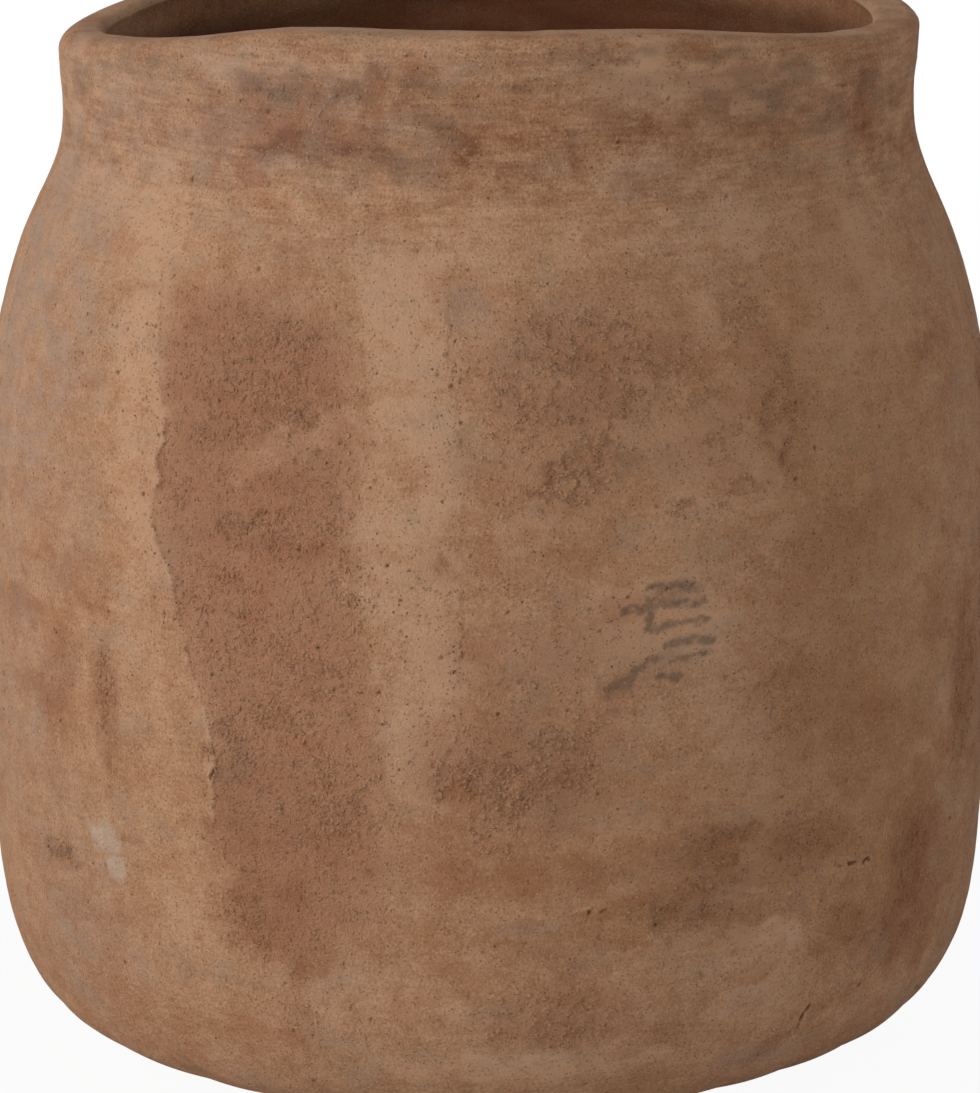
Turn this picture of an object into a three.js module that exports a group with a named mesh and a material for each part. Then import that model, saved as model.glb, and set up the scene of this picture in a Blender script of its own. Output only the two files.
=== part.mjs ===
// A large hand-built terracotta jar planter, in millimetres, +Z up, front towards -Y.
//
// The jar is put together from flat slabs and rolled coils of coarse clay while they are soft:
//   base_slab     a round slab whose edge is turned up into the heel, with a drain hole
//   heel_wall     the first strip of wall, luted on the turned-up edge
//   wall_slab_NN  ten tall slabs side by side, each one scarfed to the next
//   neck_collar   the strip that closes the shoulder in to the neck
//   rim_coil      the rolled coil on top, which sagged into a slight saddle as it dried
// Every joint is a bevel cut through the wall, so that the upper strip laps over the lower one
// on the outside, and each slab laps over the next. Neighbours keep a hairline between them.

import * as THREE from 'three';

// ---- Driving dimensions -------------------------------------------------------------------

// Outer face: heights above the ground, radii, and how fast the radius grows with height. The
// shoulder and the neck are measured down from the lip, so they follow it in a taller jar.
const FOOT_RADIUS = 160;
const FOOT_FLARE_RATIO = 4.6;
const HEEL_HEIGHT = 36;
const HEEL_RADIUS = 227;
const HEEL_FLARE_RATIO = 0.5;
const LOWER_BELLY_HEIGHT = 95;
const LOWER_BELLY_INSET = 3;
const LOWER_BELLY_FLARE_RATIO = 0.07;
const BELLY_HEIGHT = 250;
const BELLY_RADIUS = 244;
const SHOULDER_BELOW_LIP = 115;
const SHOULDER_RADIUS = 224.5;
const SHOULDER_FLARE_RATIO = -0.36;
const NECK_BELOW_LIP = 50;
const NECK_RADIUS = 203;
const NECK_FLARE_RATIO = -0.06;
const LIP_HEIGHT = 500;
const LIP_RADIUS = 204;
const LIP_FLARE_RATIO = 0.03;

// Clay thicknesses.
const WALL_THICKNESS = 20;
const FLOOR_THICKNESS = 22;

// Joints: heights are on the outer face, halfway through the bevel.
const HEEL_JOINT_HEIGHT = 38;
const LOWER_JOINT_HEIGHT = 124;
const COLLAR_DEPTH = 54;
const RIM_COIL_DEPTH = 28;
const BEVEL_RISE = 11;
const SCARF_RUN = 14;
const JOINT_GAP = 0.3;

// Upright seams between the slabs: angle at the lower joint and at the upper joint, in degrees,
// counted from the front towards +X. The slabs are not all of one width, and some edges lean.
const SEAM_DEGREES = [
  [-29.5, -42],
  [-3, -6.5],
  [31.5, 31.5],
  [66, 68],
  [103, 101],
  [139, 140],
  [176, 175],
  [212, 214],
  [248, 246],
  [289, 280],
];

// Drain hole through the middle of the base.
const DRAIN_RADIUS = 15;
const DRAIN_EDGE = 2;

// Rolled lip: the outer edge is rounder on the left (-X) than on the right.
const LIP_ROUND_LEFT = 11;
const LIP_ROUND_RIGHT = 5;
const LIP_ROUND_INSIDE = 5;

// Marks of the hand: the lip rises at the front and the back and a little to the right, the
// right of the heel is pared back, and the belly is not quite round.
const LIP_SADDLE_RISE = 9.5;
const LIP_TILT_RISE = 4;
const HEEL_PARING = 14;
const PARING_HEIGHT = 60;
const UNEVENNESS = 0.8;

// Faceting.
const STEPS_PER_SLAB = 6;
const SLAB_ROWS = 12;
const HEEL_ROWS = 6;
const NECK_ROWS = 4;
const RIM_ROWS = 2;
const EDGE_STEPS = 4;

const SLAB_COUNT = SEAM_DEGREES.length;
const STATION_COUNT = SLAB_COUNT * STEPS_PER_SLAB;
const SHOULDER_HEIGHT = LIP_HEIGHT - SHOULDER_BELOW_LIP;
const RIM_JOINT_HEIGHT = LIP_HEIGHT - RIM_COIL_DEPTH;
const UPPER_JOINT_HEIGHT = RIM_JOINT_HEIGHT - COLLAR_DEPTH;

// ---- The wall as a surface of revolution ----------------------------------------------------

// Stations of the outer face from the foot to the lip: height, radius, flare.
const OUTER_FACE = [
  [0, FOOT_RADIUS, FOOT_FLARE_RATIO],
  [HEEL_HEIGHT, HEEL_RADIUS, HEEL_FLARE_RATIO],
  [LOWER_BELLY_HEIGHT, BELLY_RADIUS - LOWER_BELLY_INSET, LOWER_BELLY_FLARE_RATIO],
  [BELLY_HEIGHT, BELLY_RADIUS, 0],
  [SHOULDER_HEIGHT, SHOULDER_RADIUS, SHOULDER_FLARE_RATIO],
  [LIP_HEIGHT - NECK_BELOW_LIP, NECK_RADIUS, NECK_FLARE_RATIO],
  [LIP_HEIGHT, LIP_RADIUS, LIP_FLARE_RATIO],
];

// Outer radius and flare at a height: a cubic that keeps each station's radius and flare.
function outerFace(height) {
  let span = 0;
  while (span < OUTER_FACE.length - 2 && height > OUTER_FACE[span + 1][0]) {
    span += 1;
  }
  const [lowHeight, lowRadius, lowFlare] = OUTER_FACE[span];
  const [highHeight, highRadius, highFlare] = OUTER_FACE[span + 1];
  const length = highHeight - lowHeight;
  const t = (height - lowHeight) / length;
  const rise = highRadius - lowRadius;
  const lowPull = lowFlare * length - rise;
  const highPull = rise - highFlare * length;
  const bend = lowPull + (highPull - lowPull) * t;
  const bendGrowth = highPull - lowPull;
  return {
    radius: lowRadius + rise * t + t * (1 - t) * bend,
    flare: (rise + (1 - 2 * t) * bend + t * (1 - t) * bendGrowth) / length,
  };
}

// The point that lies `depth` inside the outer face, square to it, from the point at `height`.
// It keeps the height that it started from, because the seams' lean goes by that.
function wallPoint(height, depth) {
  const { radius, flare } = outerFace(height);
  const scale = depth / Math.hypot(1, flare);
  return { radius: radius - scale, z: height + flare * scale, seamHeight: height };
}

// ---- From the turned shape to the hand-made one ----------------------------------------------

// Angle of an upright seam at a height on the outer face; above and below the slabs it stays.
function seamAngle(seam, height) {
  const turns = Math.floor(seam / SLAB_COUNT);
  const [low, high] = SEAM_DEGREES[seam - turns * SLAB_COUNT];
  const climb = THREE.MathUtils.clamp(
    (height - LOWER_JOINT_HEIGHT) / (UPPER_JOINT_HEIGHT - LOWER_JOINT_HEIGHT), 0, 1);
  return THREE.MathUtils.lerp(low, high, climb) + 360 * turns;
}

// Angle of a station: the stations divide each slab's width evenly.
function stationAngle(station, height) {
  const seam = Math.floor(station / STEPS_PER_SLAB);
  const across = station / STEPS_PER_SLAB - seam;
  return THREE.MathUtils.lerp(seamAngle(seam, height), seamAngle(seam + 1, height), across);
}

// How far the lip's saddle and tilt lift a point: all of it at the lip, none below the shoulder.
function saddleLift(angle, z) {
  const share = THREE.MathUtils.smoothstep(z, SHOULDER_HEIGHT, LIP_HEIGHT);
  return share * (LIP_SADDLE_RISE * Math.cos(2 * angle) + LIP_TILT_RISE * Math.sin(angle));
}

// How far the right of the heel is pared back.
function paring(angle, radius, z) {
  const below = Math.max(0, 1 - z / PARING_HEIGHT);
  const towardsRight = (1 + Math.sin(angle)) / 2;
  const outward = Math.min(1, radius / FOOT_RADIUS);
  return HEEL_PARING * (below * towardsRight) ** 2 * outward ** 3;
}

// Out-of-round of the belly: two slow waves that fade towards the foot and the lip.
function outOfRound(angle, z) {
  const belly = Math.sin(Math.PI * THREE.MathUtils.clamp(z / LIP_HEIGHT, 0, 1));
  return UNEVENNESS * belly * (Math.sin(3 * angle + 0.8) + 0.6 * Math.sin(5 * angle - 1.1));
}

// A section point set at an angle in degrees, with the marks of the hand.
function setAtAngle(point, degrees) {
  const angle = THREE.MathUtils.degToRad(degrees);
  const radius = point.radius - paring(angle, point.radius, point.z) + outOfRound(angle, point.z);
  const z = point.z + saddleLift(angle, point.z);
  return new THREE.Vector3(radius * Math.sin(angle), -radius * Math.cos(angle), z);
}

// ---- Sections -------------------------------------------------------------------------------

// Bevelled cut through the wall: the height on the outer face that a point of the cut belongs to.
// `side` is +1 for the piece above the joint and -1 for the piece below it.
function bevelHeight(joint, depth, side) {
  const steepness = Math.hypot(WALL_THICKNESS, BEVEL_RISE) / WALL_THICKNESS;
  const climb = BEVEL_RISE * (depth / WALL_THICKNESS - 0.5);
  return joint + climb + (side * JOINT_GAP * steepness) / 2;
}

// One face of the wall between two heights, bottom to top, in even rows.
function faceRows(lowHeight, highHeight, depth, rows) {
  return Array.from({ length: rows + 1 }, (_, row) => {
    const height = THREE.MathUtils.lerp(lowHeight, highHeight, row / rows);
    return wallPoint(height, depth);
  });
}

// Closed section of a strip of wall between two joints: up the outside and down the inside.
function stripSection(lowJoint, highJoint, rows) {
  const face = (depth) => faceRows(
    bevelHeight(lowJoint, depth, 1), bevelHeight(highJoint, depth, -1), depth, rows);
  return [...face(0), ...face(WALL_THICKNESS).reverse()];
}

// Quarter round of the lip, seen across the wall, from one direction to the other in degrees.
function quarterRound(centreHeight, centreDepth, radius, fromDegrees, toDegrees) {
  return Array.from({ length: EDGE_STEPS + 1 }, (_, step) => {
    const turn = THREE.MathUtils.degToRad(
      THREE.MathUtils.lerp(fromDegrees, toDegrees, step / EDGE_STEPS));
    return wallPoint(
      centreHeight + radius * Math.sin(turn), centreDepth - radius * Math.cos(turn));
  });
}

// Section of the base: under the foot, up the heel to the first joint, down the inside to the
// flat floor, and in to the drain hole with its eased edges.
function baseSection() {
  const flat = (radius, z) => ({ radius, z, seamHeight: 0 });
  const face = (depth) => faceRows(
    0, bevelHeight(HEEL_JOINT_HEIGHT, depth, -1), depth, HEEL_ROWS);
  const inside = face(WALL_THICKNESS).map((point) => (
    { ...point, z: Math.max(point.z, FLOOR_THICKNESS) }));
  return [
    flat(DRAIN_RADIUS + DRAIN_EDGE, 0),
    ...face(0),
    ...inside.reverse(),
    flat(DRAIN_RADIUS + DRAIN_EDGE, FLOOR_THICKNESS),
    flat(DRAIN_RADIUS, FLOOR_THICKNESS - DRAIN_EDGE),
    flat(DRAIN_RADIUS, DRAIN_EDGE),
  ];
}

// Section of the rim coil at an angle in degrees: the top edges are rounded, the outer one more
// on the left of the jar.
function rimSection(degrees) {
  const towardsLeft = (1 - Math.sin(THREE.MathUtils.degToRad(degrees))) / 2;
  const outerRound = THREE.MathUtils.lerp(LIP_ROUND_RIGHT, LIP_ROUND_LEFT, towardsLeft);
  const outerTop = LIP_HEIGHT - outerRound;
  const innerTop = LIP_HEIGHT - LIP_ROUND_INSIDE;
  const innerDepth = WALL_THICKNESS - LIP_ROUND_INSIDE;
  const outside = faceRows(bevelHeight(RIM_JOINT_HEIGHT, 0, 1), outerTop, 0, RIM_ROWS);
  const inside = faceRows(
    bevelHeight(RIM_JOINT_HEIGHT, WALL_THICKNESS, 1), innerTop, WALL_THICKNESS, RIM_ROWS);
  return [
    ...outside.slice(0, -1),
    ...quarterRound(outerTop, outerRound, outerRound, 0, 90),
    ...quarterRound(innerTop, innerDepth, LIP_ROUND_INSIDE, 90, 180),
    ...inside.reverse().slice(1),
  ];
}

// ---- Solids ---------------------------------------------------------------------------------

// Skin over sections with equal numbers of points. A ring of sections closes on itself; an open
// row of them gets an end face at each end, laid between the outer and the inner rows.
function loft(sections, isRing) {
  const count = sections[0].length;
  const last = sections.length - 1;
  const indices = [];
  for (let s = 0; s < (isRing ? sections.length : last); s += 1) {
    const here = s * count;
    const next = ((s + 1) % sections.length) * count;
    for (let p = 0; p < count; p += 1) {
      const q = (p + 1) % count;
      indices.push(here + p, next + p, next + q, here + p, next + q, here + q);
    }
  }
  if (!isRing) {
    for (let row = 0; row < count / 2 - 1; row += 1) {
      const [outer, outerUp] = [row, row + 1];
      const [inner, innerUp] = [count - 1 - row, count - 2 - row];
      indices.push(outer, outerUp, inner, outerUp, innerUp, inner);
      const end = last * count;
      indices.push(end + outer, end + inner, end + outerUp);
      indices.push(end + outerUp, end + inner, end + innerUp);
    }
  }
  const geometry = new THREE.BufferGeometry();
  geometry.setFromPoints(sections.flat());
  geometry.setIndex(indices);
  geometry.computeVertexNormals();
  return geometry;
}

// A full ring of wall from a section that may change with the angle.
function ringSolid(sectionAt) {
  const sections = Array.from({ length: STATION_COUNT }, (_, station) => (
    sectionAt(stationAngle(station, LIP_HEIGHT)).map((point) => (
      setAtAngle(point, stationAngle(station, point.seamHeight))))));
  return loft(sections, true);
}

// One upright slab: its first and last sections follow the slanting scarf cuts.
function slabSolid(slab) {
  const section = stripSection(LOWER_JOINT_HEIGHT, UPPER_JOINT_HEIGHT, SLAB_ROWS);
  const steepness = Math.hypot(WALL_THICKNESS, SCARF_RUN) / WALL_THICKNESS;
  const sections = Array.from({ length: STEPS_PER_SLAB + 1 }, (_, step) => {
    const isFirst = step === 0;
    const isEdge = isFirst || step === STEPS_PER_SLAB;
    const gap = ((isFirst ? 1 : -1) * JOINT_GAP * steepness) / 2;
    return section.map((point, index) => {
      const isOuter = index < section.length / 2;
      const shift = isEdge ? gap + (isOuter ? 0.5 : -0.5) * SCARF_RUN : 0;
      const turn = THREE.MathUtils.radToDeg(shift / point.radius);
      const angle = stationAngle(slab * STEPS_PER_SLAB + step, point.seamHeight);
      return setAtAngle(point, angle + turn);
    });
  });
  return loft(sections, false);
}

// ---- The jar --------------------------------------------------------------------------------

const jar = new THREE.Group();
jar.name = 'terracotta_jar_planter';

function addPiece(name, geometry, color) {
  const clay = new THREE.MeshStandardMaterial({ color, roughness: 0.95, metalness: 0 });
  const piece = new THREE.Mesh(geometry, clay);
  piece.name = name;
  jar.add(piece);
}

const heelSection = stripSection(HEEL_JOINT_HEIGHT, LOWER_JOINT_HEIGHT, HEEL_ROWS);
const neckSection = stripSection(UPPER_JOINT_HEIGHT, RIM_JOINT_HEIGHT, NECK_ROWS);

addPiece('base_slab', ringSolid(baseSection), '#8f6a50');
addPiece('heel_wall', ringSolid(() => heelSection), '#97714f');
const slabColors = ['#976c4f', '#a07a5c', '#92694c', '#8e664b', '#a47d5f'];
for (let slab = 0; slab < SLAB_COUNT; slab += 1) {
  const name = `wall_slab_${String(slab + 1).padStart(2, '0')}`;
  addPiece(name, slabSolid(slab), slabColors[slab % slabColors.length]);
}
addPiece('neck_collar', ringSolid(() => neckSection), '#9b7459');
addPiece('rim_coil', ringSolid(rimSection), '#a98467');

// The widest parts are centred over the origin, with the foot on the ground.
const bounds = new THREE.Box3().setFromObject(jar);
const middle = bounds.getCenter(new THREE.Vector3());
jar.position.set(-middle.x, -middle.y, -bounds.min.z);
jar.updateMatrixWorld(true);

export default jar;
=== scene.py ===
# %% [markdown]
# # A hand-built terracotta jar planter
# The jar is a big round pot of coarse clay, put together by hand from a base slab, a low strip,
# ten tall slabs, a neck strip and a rolled lip, and then smoothed, worn and stained by years
# outdoors. Its form is quiet, so almost all of its character is in the skin: worn slip, crumbly
# patches, ragged slab edges, pits, scratches and smoke.
# The plan is to model the whole skin as one sheet, so that relief and stains run over the joints
# as they do on the real jar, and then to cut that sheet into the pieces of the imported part.

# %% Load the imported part
import itertools
import math
import bpy
import numpy as np
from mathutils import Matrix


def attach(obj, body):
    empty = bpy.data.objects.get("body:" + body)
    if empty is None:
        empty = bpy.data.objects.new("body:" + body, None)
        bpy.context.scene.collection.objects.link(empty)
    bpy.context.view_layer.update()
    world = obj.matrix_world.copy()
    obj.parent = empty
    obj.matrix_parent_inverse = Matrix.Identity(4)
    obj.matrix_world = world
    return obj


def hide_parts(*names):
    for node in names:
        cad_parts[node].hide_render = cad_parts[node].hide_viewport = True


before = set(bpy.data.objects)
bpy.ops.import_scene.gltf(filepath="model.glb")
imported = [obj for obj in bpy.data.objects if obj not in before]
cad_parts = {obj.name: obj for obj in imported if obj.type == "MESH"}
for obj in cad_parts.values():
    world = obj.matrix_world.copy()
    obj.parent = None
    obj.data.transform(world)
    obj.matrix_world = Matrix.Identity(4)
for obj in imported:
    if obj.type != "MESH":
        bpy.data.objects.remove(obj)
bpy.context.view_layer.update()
print("packed pieces:", sorted(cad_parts))

# %% [markdown]
# ## Sizes
# Everything up to the meshes is worked out in millimetres, because that is how a potter thinks
# of a wall or a pit. These are the same sizes as the part's: the outer face is given by seven
# stations, each with a height, a radius and how fast the radius grows with height.

# %% Sizes of the jar, in millimetres and degrees
MM = 0.001
OUTER_STATIONS = np.array([
    [0, 160, 4.6],
    [36, 227, 0.5],
    [95, 241, 0.07],
    [250, 244, 0],
    [385, 224.5, -0.36],
    [450, 203, -0.06],
    [500, 204, 0.03],
])
BELLY_RADIUS = 244
SHOULDER_HEIGHT = 385
LIP_HEIGHT = 500
LIP_RADIUS = 204
FOOT_RADIUS = 160
WALL = 20
FLOOR = 22
HEEL_JOINT = 38
LOWER_JOINT = 124
UPPER_JOINT = 418
RIM_JOINT = LIP_HEIGHT - 28
BEVEL_RISE = 11
SCARF_RUN = 14
DRAIN_RADIUS = 15
DRAIN_EDGE = 2
LIP_ROUND_LEFT = 11
LIP_ROUND_RIGHT = 5
LIP_ROUND_INSIDE = 5
LIP_SADDLE = 9.5
LIP_TILT = 4
LIP_ROLL = 3
LIP_WAVES = [(-180, 0), (-120, -1.5), (-90, 0.8), (-66, 2.4), (-52, 2.2), (-43, 2.8), (-35, 4.2),
             (-28, 5.0), (-21, 4.0), (-15, 2.8), (-9, 1.4), (-3, 0.5), (3, 0.1), (15, 0.2), (21, 0.4),
             (28, 0.1), (35, -0.8), (43, -1.6), (54, -1.4), (66, -1.7), (90, -0.4), (120, 1.5),
             (150, -1), (180, 0)]
HEEL_PARING = 14
PARING_HEIGHT = 60
UNEVENNESS = 0.8
CENTRING = np.array([0.24, 0.19, 0.0])
# Angle of each upright seam at the lower and at the upper joint, from the front towards +X.
SEAMS = np.array([
    [-29.5, -42], [-3, -6.5], [31.5, 31.5], [66, 68], [103, 101],
    [139, 140], [176, 175], [212, 214], [248, 246], [289, 280],
])

print("jar", LIP_HEIGHT, "mm high and", 2 * BELLY_RADIUS, "mm wide, lip waves of up to",
      max(wave for _, wave in LIP_WAVES), "mm")

# %% [markdown]
# ## The camera
# The photograph was taken from about two and a half metres away and a little above the lip, with
# a long lens, so close that the jar fills the frame and its mouth and foot are cut off.

# %% Camera
CAMERA_DISTANCE = 2.4
CAMERA_HEIGHT = 0.8173
CAMERA_DOWN = 13.695
CAMERA_ASIDE = 0.00094
LENS = 167.6

lens_data = bpy.data.cameras.new("camera")
lens_data.lens = LENS
lens_data.sensor_width = 36
camera = bpy.data.objects.new("camera", lens_data)
camera.location = (CAMERA_ASIDE, -CAMERA_DISTANCE, CAMERA_HEIGHT)
camera.rotation_euler = (math.radians(90 - CAMERA_DOWN), 0, 0)
bpy.context.collection.objects.link(camera)
bpy.context.scene.camera = camera
print("camera", CAMERA_DISTANCE, "m away, looking down by", CAMERA_DOWN, "degrees")

# %% [markdown]
# ## The turned shape
# A jar starts as a surface of revolution. Its outer face is a cubic between the stations, and
# the inner face lies one wall's thickness inside it, square to it.

# %% The wall as a surface of revolution
def outer_face(height):
    """Outer radius and flare at each height."""
    height = np.asarray(height, float)
    span = np.clip(np.searchsorted(OUTER_STATIONS[:, 0], height) - 1, 0, len(OUTER_STATIONS) - 2)
    low_height, low_radius, low_flare = np.moveaxis(OUTER_STATIONS[span], -1, 0)
    high_height, high_radius, high_flare = np.moveaxis(OUTER_STATIONS[span + 1], -1, 0)
    length = high_height - low_height
    t = (height - low_height) / length
    rise = high_radius - low_radius
    low_pull = low_flare * length - rise
    high_pull = rise - high_flare * length
    bend = low_pull + (high_pull - low_pull) * t
    radius = low_radius + rise * t + t * (1 - t) * bend
    flare = (rise + (1 - 2 * t) * bend + t * (1 - t) * (high_pull - low_pull)) / length
    return radius, flare


def wall_point(height, depth):
    """Radius and height of the points that lie `depth` inside the outer face."""
    radius, flare = outer_face(height)
    scale = depth / np.hypot(1, flare)
    return radius - scale, height + flare * scale


print("radius of the neck:", round(float(outer_face(450)[0])), "mm")

# %% [markdown]
# The section of the jar is one closed line: out under the foot, up the outside, over the lip,
# down the inside and back through the drain hole. Its points become the rows of the sheet. Rows
# are close together outside, where the relief is, and wider apart inside.

# %% Rows: the section of the jar as one closed line
COARSE = 1.0
ROW_STEP = {"heel": 1.45, "low wall": 1.5, "belly": 0.8, "neck": 1.2, "rim": 1.2,
            "neck inside": 2.2, "inside": 5.0}


def even(start, end, step):
    """Even steps from start up to, but not including, end."""
    count = max(2, round(abs(end - start) / (step * COARSE)))
    return np.linspace(start, end, count, endpoint=False)


def joint_height(joint, depth):
    """Height on the outer face that a bevelled joint's cut belongs to, at a depth."""
    return joint + BEVEL_RISE * (depth / WALL - 0.5)


rows = {"radius": [], "z": [], "height": [], "depth": []}
row_at = {}


def add_rows(radius, z, height, depth):
    for name, values in zip(rows, np.broadcast_arrays(radius, z, height, depth)):
        rows[name].extend(values)


def add_wall_rows(height, depth):
    radius, z = wall_point(height, depth)
    add_rows(radius, np.where(depth > WALL / 2, np.maximum(z, FLOOR), z), height, depth)


under = np.array([DRAIN_RADIUS + DRAIN_EDGE, 30, 60, 100, 135, 152])
add_rows(under, 0, 0, 0)
heel_top = joint_height(HEEL_JOINT, 0)
heel_count = round(72 / (ROW_STEP["heel"] * COARSE))
add_wall_rows(heel_top * np.linspace(0, 1, heel_count, endpoint=False) ** 1.6, 0)
for joint, above, name in ((HEEL_JOINT, LOWER_JOINT, "low wall"), (LOWER_JOINT, UPPER_JOINT, "belly"),
                           (UPPER_JOINT, RIM_JOINT, "neck")):
    row_at[f"{name} outer foot"] = len(rows["z"])
    add_wall_rows(even(joint_height(joint, 0), joint_height(above, 0), ROW_STEP[name]), 0)
row_at["rim outer foot"] = len(rows["z"])
add_wall_rows(even(joint_height(RIM_JOINT, 0), LIP_HEIGHT - LIP_ROUND_LEFT, ROW_STEP["rim"]), 0)
row_at["lip"] = len(rows["z"])
LIP_STEPS = max(8, round(34 / (ROW_STEP["rim"] * COARSE)))
add_rows(np.full(LIP_STEPS, LIP_RADIUS), 0, LIP_HEIGHT, 0)
row_at["lip end"] = len(rows["z"])
rim_foot_inside = joint_height(RIM_JOINT, WALL)
add_wall_rows(even(LIP_HEIGHT - LIP_ROUND_INSIDE, rim_foot_inside, ROW_STEP["rim"]), WALL)
for joint, below, name in ((RIM_JOINT, UPPER_JOINT, "neck inside"),
                           (UPPER_JOINT, LOWER_JOINT, "inside"),
                           (LOWER_JOINT, HEEL_JOINT, "inside")):
    row_at[f"inner {joint}"] = len(rows["z"])
    add_wall_rows(even(joint_height(joint, WALL), joint_height(below, WALL), ROW_STEP[name]), WALL)
row_at[f"inner {HEEL_JOINT}"] = len(rows["z"])
add_wall_rows(even(joint_height(HEEL_JOINT, WALL), 0, ROW_STEP["inside"]), WALL)
add_rows(np.array([153, 120, 80, 40, DRAIN_RADIUS + DRAIN_EDGE]), FLOOR, 0, WALL)
add_rows(DRAIN_RADIUS, np.array([FLOOR - DRAIN_EDGE, FLOOR / 2, DRAIN_EDGE]), 0, WALL / 2)
rows = {name: np.array(values, float)[:, None] for name, values in rows.items()}
ROW_COUNT = len(rows["z"])
print("rows round the section:", ROW_COUNT)

# %% [markdown]
# Columns run up and down the jar. Each slab's width is divided evenly, finely on the
# photographed side and more coarsely behind, so that a seam between two slabs is always a column.

# %% Columns: the stations round the jar
FINE_SLABS = (9, 0, 1, 2)
FINE_STEP = 0.8
BACK_STEP = 2.1

slab_first_column = []
columns = []
for slab in range(len(SEAMS)):
    after = SEAMS[slab + 1] if slab + 1 < len(SEAMS) else SEAMS[0] + 360
    width = math.radians((after - SEAMS[slab]).mean()) * BELLY_RADIUS
    step = FINE_STEP if slab in FINE_SLABS else BACK_STEP
    count = round(width / (step * COARSE))
    slab_first_column.append(len(columns))
    for share in np.linspace(0, 1, count, endpoint=False):
        columns.append(SEAMS[slab] + (after - SEAMS[slab]) * share)
columns = np.array(columns)
COLUMN_COUNT = len(columns)
climb = np.clip((rows["height"] - LOWER_JOINT) / (UPPER_JOINT - LOWER_JOINT), 0, 1)
seam_angle = columns[:, 0] + (columns[:, 1] - columns[:, 0]) * climb
scarf = SCARF_RUN * (0.5 - rows["depth"] / WALL) / np.maximum(rows["radius"], 150)
print("columns round the jar:", COLUMN_COUNT)

# %% [markdown]
# ## The marks of the hand
# The lip sagged into a saddle as it dried, its outer edge is rounder on the left, the right of
# the heel was pared back with a knife, and the belly is not quite round. The fingers that rolled
# the lip left small waves in its height and turned its inner edge a little inwards.

# %% The sheet before its relief
def smooth_step(low, high, value):
    t = np.clip((value - low) / (high - low), 0, 1)
    return t * t * (3 - 2 * t)


def lip_rows(angle):
    """Rows over the lip: up and round the outer edge, across the top, round the inner edge."""
    round_out = LIP_ROUND_RIGHT + (LIP_ROUND_LEFT - LIP_ROUND_RIGHT) * (1 - np.sin(angle)) / 2
    round_out = round_out * (1 - 0.35 * np.cos(angle))
    shares = np.linspace(0, 1, LIP_STEPS, endpoint=False)[:, None]
    straight = LIP_ROUND_LEFT - round_out
    out_arc = round_out * math.pi / 2
    top = WALL - round_out - LIP_ROUND_INSIDE
    in_arc = LIP_ROUND_INSIDE * math.pi / 2
    along = shares * (straight + out_arc + top + in_arc)
    first = np.clip(along, 0, straight)
    second = np.clip(along - straight, 0, out_arc) / round_out
    third = np.clip(along - straight - out_arc, 0, top)
    fourth = np.clip(along - straight - out_arc - top, 0, in_arc) / LIP_ROUND_INSIDE
    height = (LIP_HEIGHT - LIP_ROUND_LEFT + first + round_out * np.sin(second)
              - LIP_ROUND_INSIDE * (1 - np.cos(fourth)))
    depth = round_out * (1 - np.cos(second)) + third + LIP_ROUND_INSIDE * np.sin(fourth)
    return height, depth


angle = np.radians(seam_angle) + scarf
radius = np.broadcast_to(rows["radius"], angle.shape).copy()
z = np.broadcast_to(rows["z"], angle.shape).copy()
lip = slice(row_at["lip"], row_at["lip end"])
lip_height, lip_depth = lip_rows(angle[lip])
angle[lip] -= SCARF_RUN * lip_depth / WALL / LIP_RADIUS
radius[lip], z[lip] = wall_point(lip_height, lip_depth)
inside_share = np.where(rows["depth"] < WALL / 2, 0, 1) * np.ones_like(angle)
inside_share[lip] = lip_depth / WALL
radius -= LIP_ROLL * inside_share * smooth_step(LIP_HEIGHT - 42, LIP_HEIGHT - 12, z)

paring = (np.maximum(0, 1 - z / PARING_HEIGHT) * (1 + np.sin(angle)) / 2) ** 2
paring *= HEEL_PARING * np.minimum(1, radius / FOOT_RADIUS) ** 3
belly = np.sin(math.pi * np.clip(z / LIP_HEIGHT, 0, 1))
out_of_round = UNEVENNESS * belly * (np.sin(3 * angle + 0.8) + 0.6 * np.sin(5 * angle - 1.1))
saddle = LIP_SADDLE * np.cos(2 * angle) + LIP_TILT * np.sin(angle)
lift = saddle * smooth_step(SHOULDER_HEIGHT, LIP_HEIGHT, z)
turn = np.degrees((angle + math.pi) % (2 * math.pi) - math.pi)
wave_turn, wave_lift = zip(*LIP_WAVES)
lift += np.interp(turn, wave_turn, wave_lift) * smooth_step(LIP_HEIGHT - 45, LIP_HEIGHT, z)
hand_radius = radius - paring + out_of_round
sheet = np.stack([hand_radius * np.sin(angle), -hand_radius * np.cos(angle), z + lift], axis=-1)
sheet += CENTRING


def sheet_normals(points):
    """Outward normals of a sheet that closes on itself both ways."""
    along = np.roll(points, -1, axis=1) - np.roll(points, 1, axis=1)
    up = np.roll(points, -1, axis=0) - np.roll(points, 1, axis=0)
    normal = np.cross(along, up)
    return normal / np.maximum(np.linalg.norm(normal, axis=-1, keepdims=True), 1e-9)


outward = sheet_normals(sheet)
print("the lip's top is between", round(float(sheet[lip, :, 2].max(axis=0).min()), 1), "and",
      round(float(sheet[..., 2].max()), 1), "mm up")

# %% [markdown]
# ## Smooth random clouds
# Worn edges, lumps and stains are all irregular in the same way: by lumps of some real size.
# `cloud` gives such lumps in space, always the same ones for the same seed.

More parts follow.
